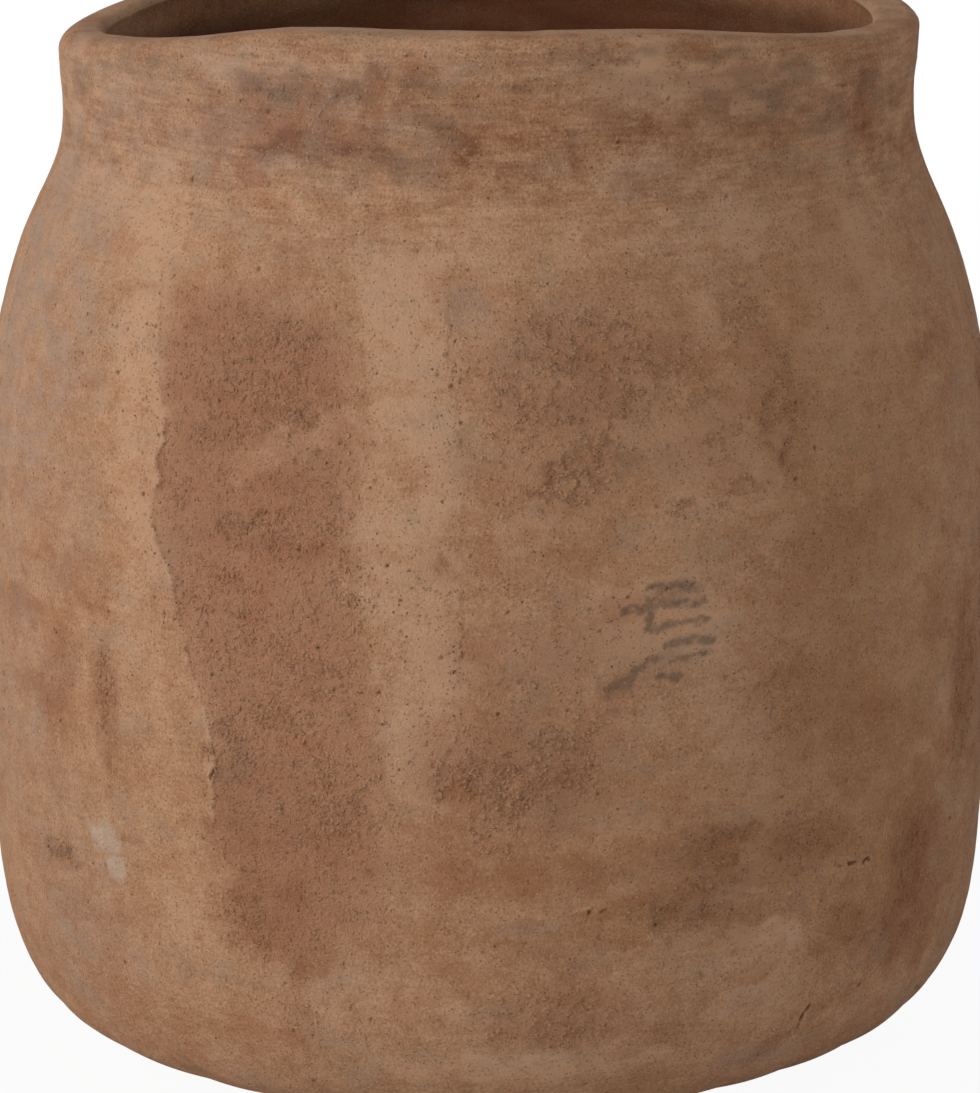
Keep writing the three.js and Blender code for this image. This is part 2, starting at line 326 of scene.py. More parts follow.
# %% Random clouds
def cloud(points, size, seed):
    """Smooth values from -1 to 1 that change over about `size` millimetres."""
    total = np.zeros(points.shape[:-1], np.float32)
    cells, parts = [], []
    for axis in range(3):
        at = np.ascontiguousarray(points[..., axis] / size, np.float32)
        cell = np.floor(at)
        part = at - cell
        cells.append(cell.astype(np.int32).view(np.uint32))
        parts.append(part * part * (3 - 2 * part))
    for corner in itertools.product((0, 1), repeat=3):
        mix = np.uint32(seed * 2654435)
        weight = np.float32(1)
        for axis, prime in enumerate((73856093, 19349663, 83492791)):
            mix = mix ^ ((cells[axis] + np.uint32(corner[axis])) * np.uint32(prime))
            weight = weight * (parts[axis] if corner[axis] else 1 - parts[axis])
        mix = (mix ^ (mix >> np.uint32(15))) * np.uint32(2246822519)
        mix = (mix ^ (mix >> np.uint32(13))) * np.uint32(3266489917)
        total += weight * ((mix >> np.uint32(16)).astype(np.float32) / 32767.5 - 1)
    return total


def rough_cloud(points, size, seed, layers=3):
    """Clouds of halving sizes on top of each other."""
    total = sum(cloud(points, size / 2 ** n, seed + n) / 2 ** n for n in range(layers))
    return total / (2 - 0.5 ** (layers - 1))


print("clouds reach from", round(float(cloud(sheet, 20, 1).min()), 2), "to",
      round(float(cloud(sheet, 20, 1).max()), 2))

# %% [markdown]
# ## Places on the wall
# Each mark on the photographed side is placed as a potter would point to it: so many millimetres
# along the wall from the front, to the right, and so high. Marks come as oval blots, as areas
# with an outline and as strokes. The wall's own coordinates are bent by clouds before the
# distance to a mark is measured, which gives every mark a worn, ragged edge.

# %% Coordinates along and up the wall
outside = rows["depth"] < WALL / 2
wrapped = (angle + math.pi) % (2 * math.pi) - math.pi
along = (wrapped * BELLY_RADIUS).astype(np.float32)
up = np.broadcast_to(rows["height"], angle.shape).astype(np.float32)
up[lip] = lip_height
behind = smooth_step(285, 345, np.abs(along))
BENDS = {"soft": (16, 26), "ragged": (9, 10), "crisp": (2.4, 4)}
bent = {}
for seed, (edge, (reach, size)) in enumerate(BENDS.items()):
    bent_along = along + reach * rough_cloud(sheet, size, 11 + seed, 4)
    bent_up = up + reach * rough_cloud(sheet, size, 31 + seed, 4)
    bent[edge] = bent_along, bent_up
print("the wall is", round(2 * math.pi * BELLY_RADIUS), "mm round")


# %% [markdown]
# A blot, an area and a stroke each give a mask over the whole sheet: 1 inside the mark and 0
# outside. Only the rows and columns near a mark are worked out, because there are hundreds of
# marks and a million points.

# %% Blots, areas and strokes
ROOM = 22
wall_along = along[row_at["low wall outer foot"]:row_at["lip"]]
column_reach = wall_along.min(axis=0) - ROOM, wall_along.max(axis=0) + ROOM
row_up = np.where(outside, rows["height"], -1000)[:, 0]


def nearby(low_along, high_along, low_up, high_up):
    """The rows and columns that a mark can reach, with room for its ragged edge."""
    near_rows = (row_up > low_up - ROOM) & (row_up < high_up + ROOM)
    near_columns = (column_reach[1] > low_along) & (column_reach[0] < high_along)
    return np.ix_(np.flatnonzero(near_rows), np.flatnonzero(near_columns))


def blot(place, half, tilt=0, edge="ragged"):
    """An oval mark, 1 in its middle and 0 outside, from its half width and half height."""
    reach = 1.4 * max(half)
    near = nearby(place[0] - reach, place[0] + reach, place[1] - reach, place[1] + reach)
    turn = math.radians(tilt)
    across = bent[edge][0][near] - place[0]
    over = bent[edge][1][near] - place[1]
    u = (across * math.cos(turn) + over * math.sin(turn)) / half[0]
    v = (over * math.cos(turn) - across * math.sin(turn)) / half[1]
    mark = np.zeros(along.shape, np.float32)
    mark[near] = smooth_step(1.35, 0.55, np.hypot(u, v))
    return mark


def blots(places, edge="ragged"):
    """A mark for each place: along, up, half width, half height, strength and, if any, tilt."""
    for x, y, half_width, half_height, strength, *tilt in places:
        yield strength * blot((x, y), (half_width, half_height), *tilt, edge=edge)


def path_distance(path, near, edge):
    """Distance in millimetres from a path of straight runs."""
    x, y = bent[edge][0][near], bent[edge][1][near]
    nearest = np.full(x.shape, 1000.0)
    for (x0, y0), (x1, y1) in zip(path, path[1:]):
        run, climb_by = x1 - x0, y1 - y0
        t = np.clip(((x - x0) * run + (y - y0) * climb_by) / (run ** 2 + climb_by ** 2), 0, 1)
        nearest = np.minimum(nearest, np.hypot(x - x0 - t * run, y - y0 - t * climb_by))
    return nearest


def near_path(path):
    """The rows and columns near a path."""
    path_along, path_up = zip(*path)
    return nearby(min(path_along), max(path_along), min(path_up), max(path_up))


def stroke(path, width, edge="crisp"):
    """A line of marks along a path, `width` millimetres wide."""
    near = near_path(path)
    mark = np.zeros(along.shape, np.float32)
    mark[near] = smooth_step(width * 0.75, width * 0.25, path_distance(path, near, edge))
    return mark


def area(outline, fade=5, edge="ragged"):
    """The inside of an outline, fading over a few millimetres."""
    near = near_path(outline)
    x, y = bent[edge][0][near], bent[edge][1][near]
    closed = outline + outline[:1]
    inside = np.zeros(x.shape, bool)
    for (x0, y0), (x1, y1) in zip(closed, closed[1:]):
        if y0 != y1:
            inside ^= ((y0 > y) != (y1 > y)) & (x < x0 + (y - y0) * (x1 - x0) / (y1 - y0))
    distance = path_distance(closed, near, edge)
    mark = np.zeros(along.shape, np.float32)
    mark[near] = smooth_step(fade, -fade, np.where(inside, -distance, distance))
    return mark


# %% [markdown]
# ## Slab edges
# Where one slab laps over the next, its edge stands about a millimetre proud. On the left and in
# the middle of the photographed side two such edges show clearly, with a pale slip on the slab
# that laps over. The hidden side gets the same laps along its own seams.

# %% Laps
EDGE_LEFT = [(-130, 118), (-130, 160), (-128, 180), (-131, 200), (-138, 215), (-145, 240),
             (-151, 265), (-158, 280), (-165, 300), (-159, 310), (-160, 340), (-169, 360),
             (-176, 395), (-190, 415)]
EDGE_MIDDLE = [(-16, 130), (-13, 200), (-12, 300), (-13, 340), (-16, 352), (-20, 375), (-19, 405)]


def lap(edge_path, low, high):
    """Distance to the right of a slab's edge, and how much the edge shows at each height."""
    edge_up, edge_along = [np.array(edge_path)[:, n] for n in (1, 0)]
    x, y = bent["crisp"]
    beyond = x + 0.45 * (bent["ragged"][0] - along) - np.interp(y, edge_up, edge_along)
    shows = smooth_step(low - 8, low + 12, up) * smooth_step(high + 8, high - 12, up) * outside
    return beyond, shows


def step_down(beyond, height, fall):
    """A worn step: `height` on the left of the edge, easing off over `fall` millimetres."""
    return height * smooth_step(0.9, -0.9, beyond) * np.exp(-np.maximum(-beyond, 0) / fall)


left_beyond, left_shows = lap(EDGE_LEFT, 150, 405)
middle_beyond, middle_shows = lap(EDGE_MIDDLE, 190, 400)
share = np.zeros(COLUMN_COUNT)
for slab, first in enumerate(slab_first_column):
    last = slab_first_column[slab + 1] if slab + 1 < len(SEAMS) else COLUMN_COUNT
    share[first:last] = np.linspace(0, 1, last - first, endpoint=False)
slab_width = np.radians(36) * BELLY_RADIUS
to_seam = np.where(share < 0.5, share, share - 1) * slab_width
hidden_beyond = to_seam + 0.5 * (bent["ragged"][0] - along)
hidden_shows = behind * smooth_step(120, 150, up) * smooth_step(415, 390, up) * outside
laps = (left_shows * step_down(left_beyond, 0.8, 45)
        + middle_shows * step_down(middle_beyond, 0.5, 30)
        + hidden_shows * step_down(hidden_beyond, 0.9, 40))
print("laps stand proud by up to", round(float(laps.max()), 2), "mm")

# %% [markdown]
# ## Bare, crumbly clay
# The potter wiped a thin pale slip over the wall. Between the slab edges it has weathered off
# down to coarse, darker clay, whose grit stands out like coarse sand.

# %% Where the clay is crumbly
crumbly = area([(-163, 395), (-120, 398), (-80, 392), (-66, 374), (-58, 338), (-66, 300),
                (-66, 268), (-55, 232), (-50, 200), (-46, 150), (-52, 116), (-75, 98),
                (-112, 100), (-122, 128), (-130, 160), (-131, 200), (-145, 240), (-158, 280),
                (-165, 300), (-160, 340), (-170, 372)], 12)
crumbly = np.where(left_beyond < 0, np.minimum(crumbly, 0.1), crumbly)
grainy_places = [
    (40, 365, 50, 32, 0.6), (30, 325, 44, 24, 0.6), (140, 342, 20, 38, 0.45),
    (105, 330, 34, 20, 0.35), (12, 190, 46, 28, 0.65), (30, 240, 50, 20, 0.35),
    (10, 285, 44, 16, 0.3), (125, 140, 44, 18, 0.5), (98, 117, 30, 14, 0.5, -20),
    (232, 112, 18, 38, 0.55), (288, 188, 22, 46, 0.6), (252, 228, 18, 18, 0.4),
    (-196, 205, 11, 22, 0.55), (-238, 118, 15, 8, 0.7, 15), (-233, 204, 14, 22, 0.4),
    (30, 72, 34, 20, 0.35), (-88, 68, 9, 22, 0.45), (-100, 474, 34, 10, 0.3), (70, 478, 70, 8, 0.3),
    (150, 478, 46, 8, 0.35), (185, 280, 64, 18, 0.3), (150, 220, 44, 44, 0.3),
    (262, 356, 16, 6, 0.3), (-12, 462, 16, 10, 0.25),
]
for mark in blots(grainy_places, "soft"):
    crumbly = np.maximum(crumbly, mark)
crumbly -= 0.6 * stroke([(-118, 320), (-95, 330), (-62, 342)], 15, "ragged") * crumbly
hidden_wear = rough_cloud(sheet * [1, 1, 0.6], 95, 71) * outside
hidden_wear = smooth_step(0.02, 0.3, hidden_wear) * behind
hidden_wear *= smooth_step(70, 110, up) * smooth_step(425, 390, up) * smooth_step(-3, 3, hidden_beyond)
crumbly = np.clip(np.maximum(crumbly, hidden_wear) * outside, 0, 1)
print("worn share of the skin:", round(float(crumbly.mean()), 3))

# %% [markdown]
# In the most weathered spots whole crumbs of grog stand out. `coarse` is the share of the
# surface that they cover there, from the photographed side, and by chance on the hidden one.

# %% Where whole crumbs stand out
crumb_places = [
    (-118, 368, 24, 20, 0.6), (-95, 345, 14, 12, 0.95), (-98, 375, 16, 12, 0.8),
    (-120, 297, 8, 4, 0.8), (-104, 296, 12, 4, 0.8), (-150, 305, 10, 8, 0.5),
    (-128, 262, 18, 14, 0.5), (-100, 207, 24, 10, 0.6), (-72, 228, 10, 12, 0.6),
    (-118, 190, 16, 14, 0.5), (-132, 340, 18, 20, 0.35), (-115, 112, 14, 14, 0.6),
    (-70, 170, 24, 20, 0.4), (-60, 270, 10, 18, 0.35), (-78, 300, 16, 16, 0.4),
    (-108, 240, 30, 20, 0.35), (48, 330, 10, 14, 1.0), (36, 322, 12, 8, 0.85),
    (30, 312, 14, 4, 0.8), (20, 355, 22, 16, 0.35), (45, 375, 34, 18, 0.45), (62, 352, 14, 10, 0.5),
    (92, 360, 16, 12, 0.4), (142, 345, 12, 18, 0.5), (145, 325, 6, 8, 0.6), (110, 335, 12, 8, 0.4),
    (95, 302, 16, 5, 0.7), (115, 310, 12, 4, 0.5), (-12, 187, 14, 12, 0.7), (12, 182, 20, 14, 0.7),
    (40, 192, 12, 14, 0.6), (32, 205, 16, 8, 0.4), (0, 160, 20, 10, 0.3), (125, 275, 16, 5, 0.4),
    (150, 282, 14, 6, 0.5), (110, 148, 22, 10, 0.6), (92, 120, 26, 14, 0.55),
    (155, 145, 20, 12, 0.6), (140, 215, 20, 22, 0.3), (128, 385, 12, 12, 0.5),
    (232, 112, 14, 30, 0.6), (288, 188, 18, 40, 0.7), (-196, 205, 8, 18, 0.55),
    (-238, 118, 12, 7, 0.8, 15), (30, 72, 26, 14, 0.35),
]
coarse = 0.85 * hidden_wear * smooth_step(0, 0.35, rough_cloud(sheet, 30, 73))
for mark in blots(crumb_places):
    coarse = np.maximum(coarse, mark)
coarse = np.clip(coarse * (0.75 + 0.9 * rough_cloud(sheet, 7, 83)), 0, 1)
print("share with crumbs:", round(float((coarse > 0.2).mean()), 3))

# %% [markdown]
# ## Pits, cracks and raised lines
# Organic bits burnt out of the clay leave small pits, most of them along the lapped edges. A few
# shrinkage cracks follow the level joint low on the wall, with some raised lines of slip.

# %% Pits and lines
pitted = np.maximum.reduce([
    0.75 * left_shows * smooth_step(13, 3, np.abs(left_beyond + 5)) * smooth_step(230, 275, up),
    0.6 * blot((-18, 350), (9, 52)),
    0.7 * blot((-16, 228), (8, 26)),
    0.45 * blot((-42, 255), (22, 60)),
    0.9 * stroke([(-162, 301), (-130, 300), (-98, 302)], 6),
    0.5 * blot((-215, 300), (40, 8)),
    0.4 * blot((-215, 365), (45, 20)),
    0.45 * blot((40, 262), (20, 10)),
    0.5 * hidden_shows * smooth_step(14, 3, np.abs(hidden_beyond + 5)),
    0.05 * outside * np.ones_like(along),
])
crack_paths = [
    ([(45, 122.5), (51, 123.5), (57, 125.5)], 1.5, 0.9), ([(15, 117), (22, 117.6)], 1.3, 0.6),
    ([(100, 88.4), (104, 87.4)], 1.3, 0.8), ([(-113, 91.4), (-107, 92.8)], 1.6, 0.8),
    ([(173, 127), (180, 126), (197, 125.6)], 1.5, 1.1), ([(268, 126.5), (286, 126)], 1.3, 0.8),
    ([(161, 49), (162, 54), (164, 59)], 1.5, 1.1), ([(156, 47), (161, 50)], 1.2, 0.7),
    ([(197, 63), (203, 61), (208, 57)], 1.2, 0.6), ([(130, 50), (132, 51)], 1.4, 0.7),
    ([(-76, 413), (-68, 419), (-58, 427), (-50, 435)], 1.1, 0.3),
    ([(-131, 176), (-130, 181)], 1.5, 1.2), ([(-176, 484), (-166, 490), (-152, 489)], 1.0, 0.3),
    ([(-150, 490), (-138, 491), (-128, 490)], 1.1, 0.35), ([(225, 112), (228, 100)], 1.5, 0.7),
    ([(270, 41), (285, 36)], 1.4, 0.8), ([(200, 475), (226, 476)], 1.2, 0.5),
    ([(4, 352), (6, 352)], 1.4, 0.6),
]
ridge_paths = [
    ([(98, 128.8), (112, 127.4), (130, 124.6), (152, 118.8)], 2.0, 0.8),
    ([(110, 114), (116, 110), (122, 105)], 2.4, 0.8), ([(5, 120.5), (30, 123), (60, 126)], 2.5, 0.5),
    ([(26, 300), (40, 318)], 3.0, 0.3), ([(200, 306), (228, 309), (250, 304)], 1.6, 0.4),
]
open_part = smooth_step(-0.35, 0.25, cloud(sheet, 4, 91))
cracks = np.zeros_like(along)
ridges = np.zeros_like(along)
for path, width, depth in crack_paths:
    cracks = np.maximum(cracks, depth * stroke(path, width) * open_part)
for path, width, height in ridge_paths:
    ridges = np.maximum(ridges, 0.75 * height * stroke(path, width) * open_part)
print("cracks:", len(crack_paths), "raised lines:", len(ridge_paths))

# %% [markdown]
# ## The slow shape of the hand-made wall
# Paddling and smoothing leave shallow hollows as wide as a hand. The rolled lip was pinched and
# wiped along its length, the inside was drawn up with the fingers, and the heel was pared with a
# knife in short flat cuts.

# %% Relief in millimetres
on_lip = smooth_step(LIP_HEIGHT - 34, LIP_HEIGHT - 16, up)
near_heel = smooth_step(62, 44, up) * smooth_step(2, 12, up) * outside
paddling = 0.45 * cloud(sheet * [1, 1, 0.7], 64, 3) + 0.3 * cloud(sheet * [1, 1, 0.5], 27, 5)
wiping = 0.16 * rough_cloud(sheet * [0.3, 0.3, 1], 7, 7)
pinching = on_lip * (0.4 * cloud(sheet, 38, 13) + 0.3 * cloud(sheet, 15, 17))
fingers = ~outside * (0.9 * np.sin(up / 4.4 + 2.2 * cloud(sheet, 120, 19)) + 0.8 * cloud(sheet, 45, 23))
knife = near_heel * (0.7 * np.abs(np.sin(13 * angle + 1.4 * cloud(sheet, 90, 37))) - 0.5)
relief = -1.15 + 0.85 * on_lip + paddling + wiping + pinching + fingers + knife
relief += laps + ridges - cracks - 0.3 * crumbly
relief = np.minimum(relief, -0.27 - 1.6 * coarse - 1.5 * crumbly)
foot = (up < 0.5) & (rows["z"] < FLOOR - 1)
relief = np.where(foot, 0, relief) * smooth_step(-1, 7, z)
formed = sheet + relief[..., None] * outward
print("relief from", round(float(relief.min()), 2), "to", round(float(relief.max()), 2), "mm")

# %% [markdown]
# ## Colour marks
# `tone` is how pale the wall is: 0 for dark bare clay, 1 for whole slip. The other marks are
# stains on top of it: ochre, iron red, grey smoke, a bluish bloom of salts and white lime.

# %% Tone of the wall
tone_places = [
    # whole slip
    (-215, 425, 55, 28, 0.11), (105, 325, 32, 27, 0.2), (84, 299, 20, 11, 0.12),
    (132, 300, 10, 26, 0.15), (-40, 184, 14, 24, 0.05), (-36, 140, 16, 22, 0.14),
    (62, 163, 16, 10, 0.15, -10), (80, 256, 32, 24, 0.17), (108, 208, 22, 22, 0.12),
    (14, 296, 13, 10, 0.17), (125, 178, 30, 16, 0.08), (92, 106, 9, 7, 0.15), (62, 87, 9, 8, 0.15),
    (132, 76, 24, 20, 0.17), (20, 46, 70, 9, 0.22), (-40, 82, 24, 16, 0.14),
    (175, 418, 62, 16, 0.08), (185, 360, 40, 26, 0.12), (240, 335, 24, 10, 0.09),
    (-155, 110, 24, 48, 0.06), (262, 190, 4, 13, 0.22, 8), (210, 278, 9, 14, 0.17),
    (243, 166, 14, 6, 0.15, -30), (105, 385, 10, 11, 0.15), (92, 356, 12, 6, 0.15),
    (20, 125, 42, 5, 0.12, 3), (-72, 336, 12, 9, 0.22, 15), (-105, 485, 30, 5, 0.12),
    (80, 478, 60, 4, 0.14), (195, 472, 40, 4, 0.15), (-86, 205, 7, 4, 0.26),
    (125, 97, 20, 13, 0.11), (150, 95, 6, 8, 0.22), (-170, 200, 18, 60, 0.11),
    (-60, 130, 8, 10, 0.11), (240, 480, 30, 3, 0.09), (40, 378, 46, 16, 0.08),
    (88, 484, 16, 9, 0.2), (182, 484, 22, 7, 0.18), (148, 474, 12, 8, 0.15),
    (135, 422, 18, 14, 0.15), (220, 400, 14, 26, 0.14), (18, 86, 18, 14, 0.14),
    (-80, 70, 14, 14, 0.14), (125, 138, 9, 8, 0.15), (205, 385, 36, 36, 0.08),
    (232, 262, 18, 22, 0.08), (135, 248, 40, 30, 0.08), (-295, 380, 44, 110, 0.1),
    (-150, 330, 14, 70, 0.08), (25, 238, 50, 14, 0.12), (-120, 402, 18, 8, 0.15),
    (5, 402, 9, 9, 0.15), (-129, 362, 18, 34, 0.13), (50, 380, 18, 12, 0.12),
    (146, 382, 10, 14, 0.16), (65, 360, 12, 12, 0.12), (135, 330, 16, 16, 0.13),
    (56, 270, 18, 22, 0.13), (220, 282, 9, 9, 0.12), (44, 192, 10, 10, 0.1), (146, 160, 9, 8, 0.13),
    (125, 140, 10, 9, 0.16), (-6, 102, 14, 8, 0.13), (-14, 82, 8, 9, 0.12), (-130, 66, 8, 7, 0.13),
    (225, 395, 24, 30, 0.1), (40, 420, 120, 13, 0.1), (100, 240, 60, 16, 0.07),
    (25, 246, 28, 14, 0.06), (-78, 180, 18, 40, 0.08), (-130, 345, 16, 50, 0.06),
    (158, 480, 30, 10, 0.12), (85, 480, 12, 12, 0.12), (245, 395, 16, 40, 0.07),
    (120, 138, 34, 12, 0.08), (-70, 100, 14, 40, 0.1), (55, 345, 30, 26, 0.08),
    (-150, 385, 16, 14, 0.08), (85, 250, 24, 14, 0.08), (135, 440, 16, 9, 0.1),
    (125, 473, 24, 7, 0.09), (85, 478, 12, 12, 0.14), (-235, 472, 20, 6, 0.06),
    (150, 440, 16, 9, 0.08), (220, 438, 12, 8, 0.1), (-150, 368, 18, 40, 0.09),
    (-5, 378, 12, 20, 0.09), (118, 320, 14, 16, 0.1), (65, 262, 24, 12, 0.08),
    (145, 425, 20, 10, 0.06), (40, 375, 24, 14, 0.05),
    # dark and dirty
    (-90, 457, 30, 8, -0.24), (-15, 458, 12, 8, -0.16), (-38, 478, 14, 12, -0.14),
    (-70, 480, 12, 9, -0.15), (-130, 472, 14, 8, -0.12), (252, 466, 14, 28, -0.18),
    (-100, 441, 20, 8, -0.1), (-172, 420, 10, 10, -0.13), (-196, 400, 10, 12, -0.1),
    (-172, 335, 9, 24, -0.1), (-44, 318, 12, 16, -0.12), (-44, 232, 12, 26, -0.12),
    (-222, 222, 10, 10, -0.1), (-249, 190, 12, 18, -0.15), (-172, 200, 9, 22, -0.1),
    (218, 190, 32, 16, -0.11), (145, 180, 9, 10, -0.13), (182, 160, 16, 9, -0.1),
    (36, 100, 14, 8, -0.08), (182, 98, 16, 12, -0.11), (-158, 82, 16, 12, -0.09),
    (220, 80, 12, 10, -0.14), (246, 68, 10, 9, -0.12), (-92, 150, 36, 56, -0.14),
    (120, 130, 40, 24, -0.06), (-50, 487, 22, 7, -0.16), (190, 188, 22, 26, -0.14),
    (-232, 188, 18, 16, -0.14), (-182, 180, 16, 26, -0.1), (250, 105, 16, 46, -0.2),
    (185, 88, 24, 18, -0.16), (-232, 98, 20, 9, -0.14), (68, 122, 16, 7, -0.18),
    (-131, 160, 6, 16, -0.12), (-38, 180, 10, 24, -0.1), (-60, 100, 60, 8, -0.06),
    (-100, 456, 44, 8, -0.2), (-20, 453, 60, 10, -0.1), (-112, 108, 11, 12, -0.11),
    (45, 450, 30, 7, -0.08), (126, 385, 16, 12, -0.06), (14, 190, 44, 28, -0.1),
    (22, 228, 30, 16, -0.08), (112, 143, 18, 14, -0.15), (165, 142, 19, 12, -0.12),
    (98, 118, 22, 11, -0.12, -20), (132, 113, 14, 6, -0.12, -20), (230, 118, 18, 30, -0.17),
    (222, 88, 22, 20, -0.08), (290, 195, 24, 50, -0.12), (30, 72, 30, 17, -0.18),
    (26, 94, 20, 8, -0.09), (86, 62, 8, 12, -0.17), (88, 75, 7, 5, -0.12), (-89, 70, 6, 19, -0.12),
    (-64, 66, 5, 11, -0.12), (-82, 96, 16, 8, -0.11, 20), (149, 44, 12, 7, -0.22, 20),
    (182, 60, 20, 8, -0.08), (-12, 464, 20, 14, -0.17), (45, 457, 8, 6, -0.18),
    (85, 461, 28, 5, -0.12), (-196, 209, 9, 18, -0.1), (-197, 182, 9, 14, -0.12),
    (-280, 176, 15, 6, -0.09), (-286, 141, 5, 5, -0.14), (-270, 120, 22, 14, -0.06),
    (-240, 118, 15, 7, -0.2, 15), (-233, 127, 5, 5, -0.17), (170, 270, 60, 34, -0.04),
    (160, 235, 30, 24, -0.06), (148, 205, 18, 14, -0.09), (185, 285, 34, 10, -0.08),
    (-20, 279, 6, 3.38, -0.22), (42, 285, 16, 6, -0.09), (-5, 345, 9, 30, -0.08),
    (-60, 250, 9, 40, -0.08), (20, 142, 60, 8, -0.08), (180, 483, 22, 6, -0.12),
    (240, 478, 28, 6, -0.17), (-100, 492, 40, 4, -0.09), (105, 490, 60, 4, -0.11),
    (112, 316, 15, 9, -0.12), (180, 345, 22, 14, -0.04), (290, 100, 30, 14, -0.08),
    (-230, 60, 60, 22, -0.08), (240, 50, 60, 12, 0.08), (-95, 150, 34, 34, -0.03),
    (-110, 456, 16, 8, -0.1), (-15, 444, 20, 12, -0.1), (245, 458, 14, 10, -0.12),
    (85, 458, 18, 8, -0.1), (-35, 472, 10, 8, -0.08), (-185, 180, 18, 14, -0.07),
    (-205, 130, 60, 50, -0.03), (220, 90, 30, 24, -0.06), (-110, 102, 10, 10, -0.07),
    (-95, 458, 36, 9, -0.1), (-12, 456, 14, 8, -0.1), (45, 455, 12, 8, -0.06),
    (172, 456, 16, 9, -0.1), (243, 455, 16, 14, -0.12), (-70, 472, 8, 8, -0.08),
    (60, 405, 30, 10, -0.04), (-115, 405, 26, 9, -0.06), (30, 108, 30, 6, -0.04),
]
tone = 0.7 + 0.05 * rough_cloud(sheet, 60, 41) + 0.09 * rough_cloud(sheet, 15, 43)
tone += 0.12 * rough_cloud(sheet, 4.5, 45)
tone += 0.36 * smooth_step(405, 440, up) * rough_cloud(sheet * [0.5, 0.5, 1], 12, 49, 4)
tone += 0.3 * area([(-70, 412), (-22, 414), (-20, 375), (-13, 345), (-12, 200), (-24, 168),
                    (-40, 172), (-48, 200), (-50, 232), (-60, 262), (-62, 300), (-54, 335),
                    (-60, 378)], 6)
tone += 0.26 * area([(-205, 432), (-172, 425), (-168, 395), (-160, 360), (-154, 340), (-156, 310),
                     (-160, 296), (-152, 266), (-176, 262), (-190, 300), (-192, 340), (-206, 400)], 9)
tone += 0.34 * area([(112, 106), (122, 108), (130, 106), (136, 110), (146, 107), (147, 101),
                     (136, 98), (118, 99)], 2, "crisp")
tone += 0.3 * stroke([(-133, 206), (-131, 188), (-130, 158)], 5)
tone += 0.1 * stroke([(-116, 321), (-95, 330), (-64, 342)], 14, "ragged")
tone += 0.28 * crumbly
# Where the brushed slip has rubbed off the neck, small islands of darker clay show.
neck_wear = smooth_step(0.04, 0.2, rough_cloud(sheet * [0.6, 0.6, 1], 6, 119, 4))
tone -= 0.16 * neck_wear * smooth_step(424, 442, up) * smooth_step(480, 468, up)
for mark in blots(tone_places):
    tone += mark
tone += 0.3 * ridges - 0.4 * cracks + 0.12 * hidden_shows * np.exp(-np.abs(hidden_beyond + 16) / 12)
# The top face of the lip is made paler: a painted highlight where the light falls on it.
painted_lip_highlight = np.zeros_like(along)
painted_lip_highlight[lip] = smooth_step(LIP_ROUND_RIGHT - 1, LIP_ROUND_RIGHT + 3, lip_depth)
tone += 0.22 * painted_lip_highlight
# Inside the jar the tone is set low: the inner wall is partly darker clay and partly painted shade.
tone = np.where(outside, tone, 0.3 + 0.3 * rough_cloud(sheet * [0.25, 0.25, 1], 14, 47))
print("tone from", round(float(tone.min()), 2), "to", round(float(tone.max()), 2))

# %% [markdown]
# Stains lie on top of the tone. Rain and salts break them up into islands, so each one is
# multiplied by clouds with sharp edges. The finger marks keep their own small breaks.

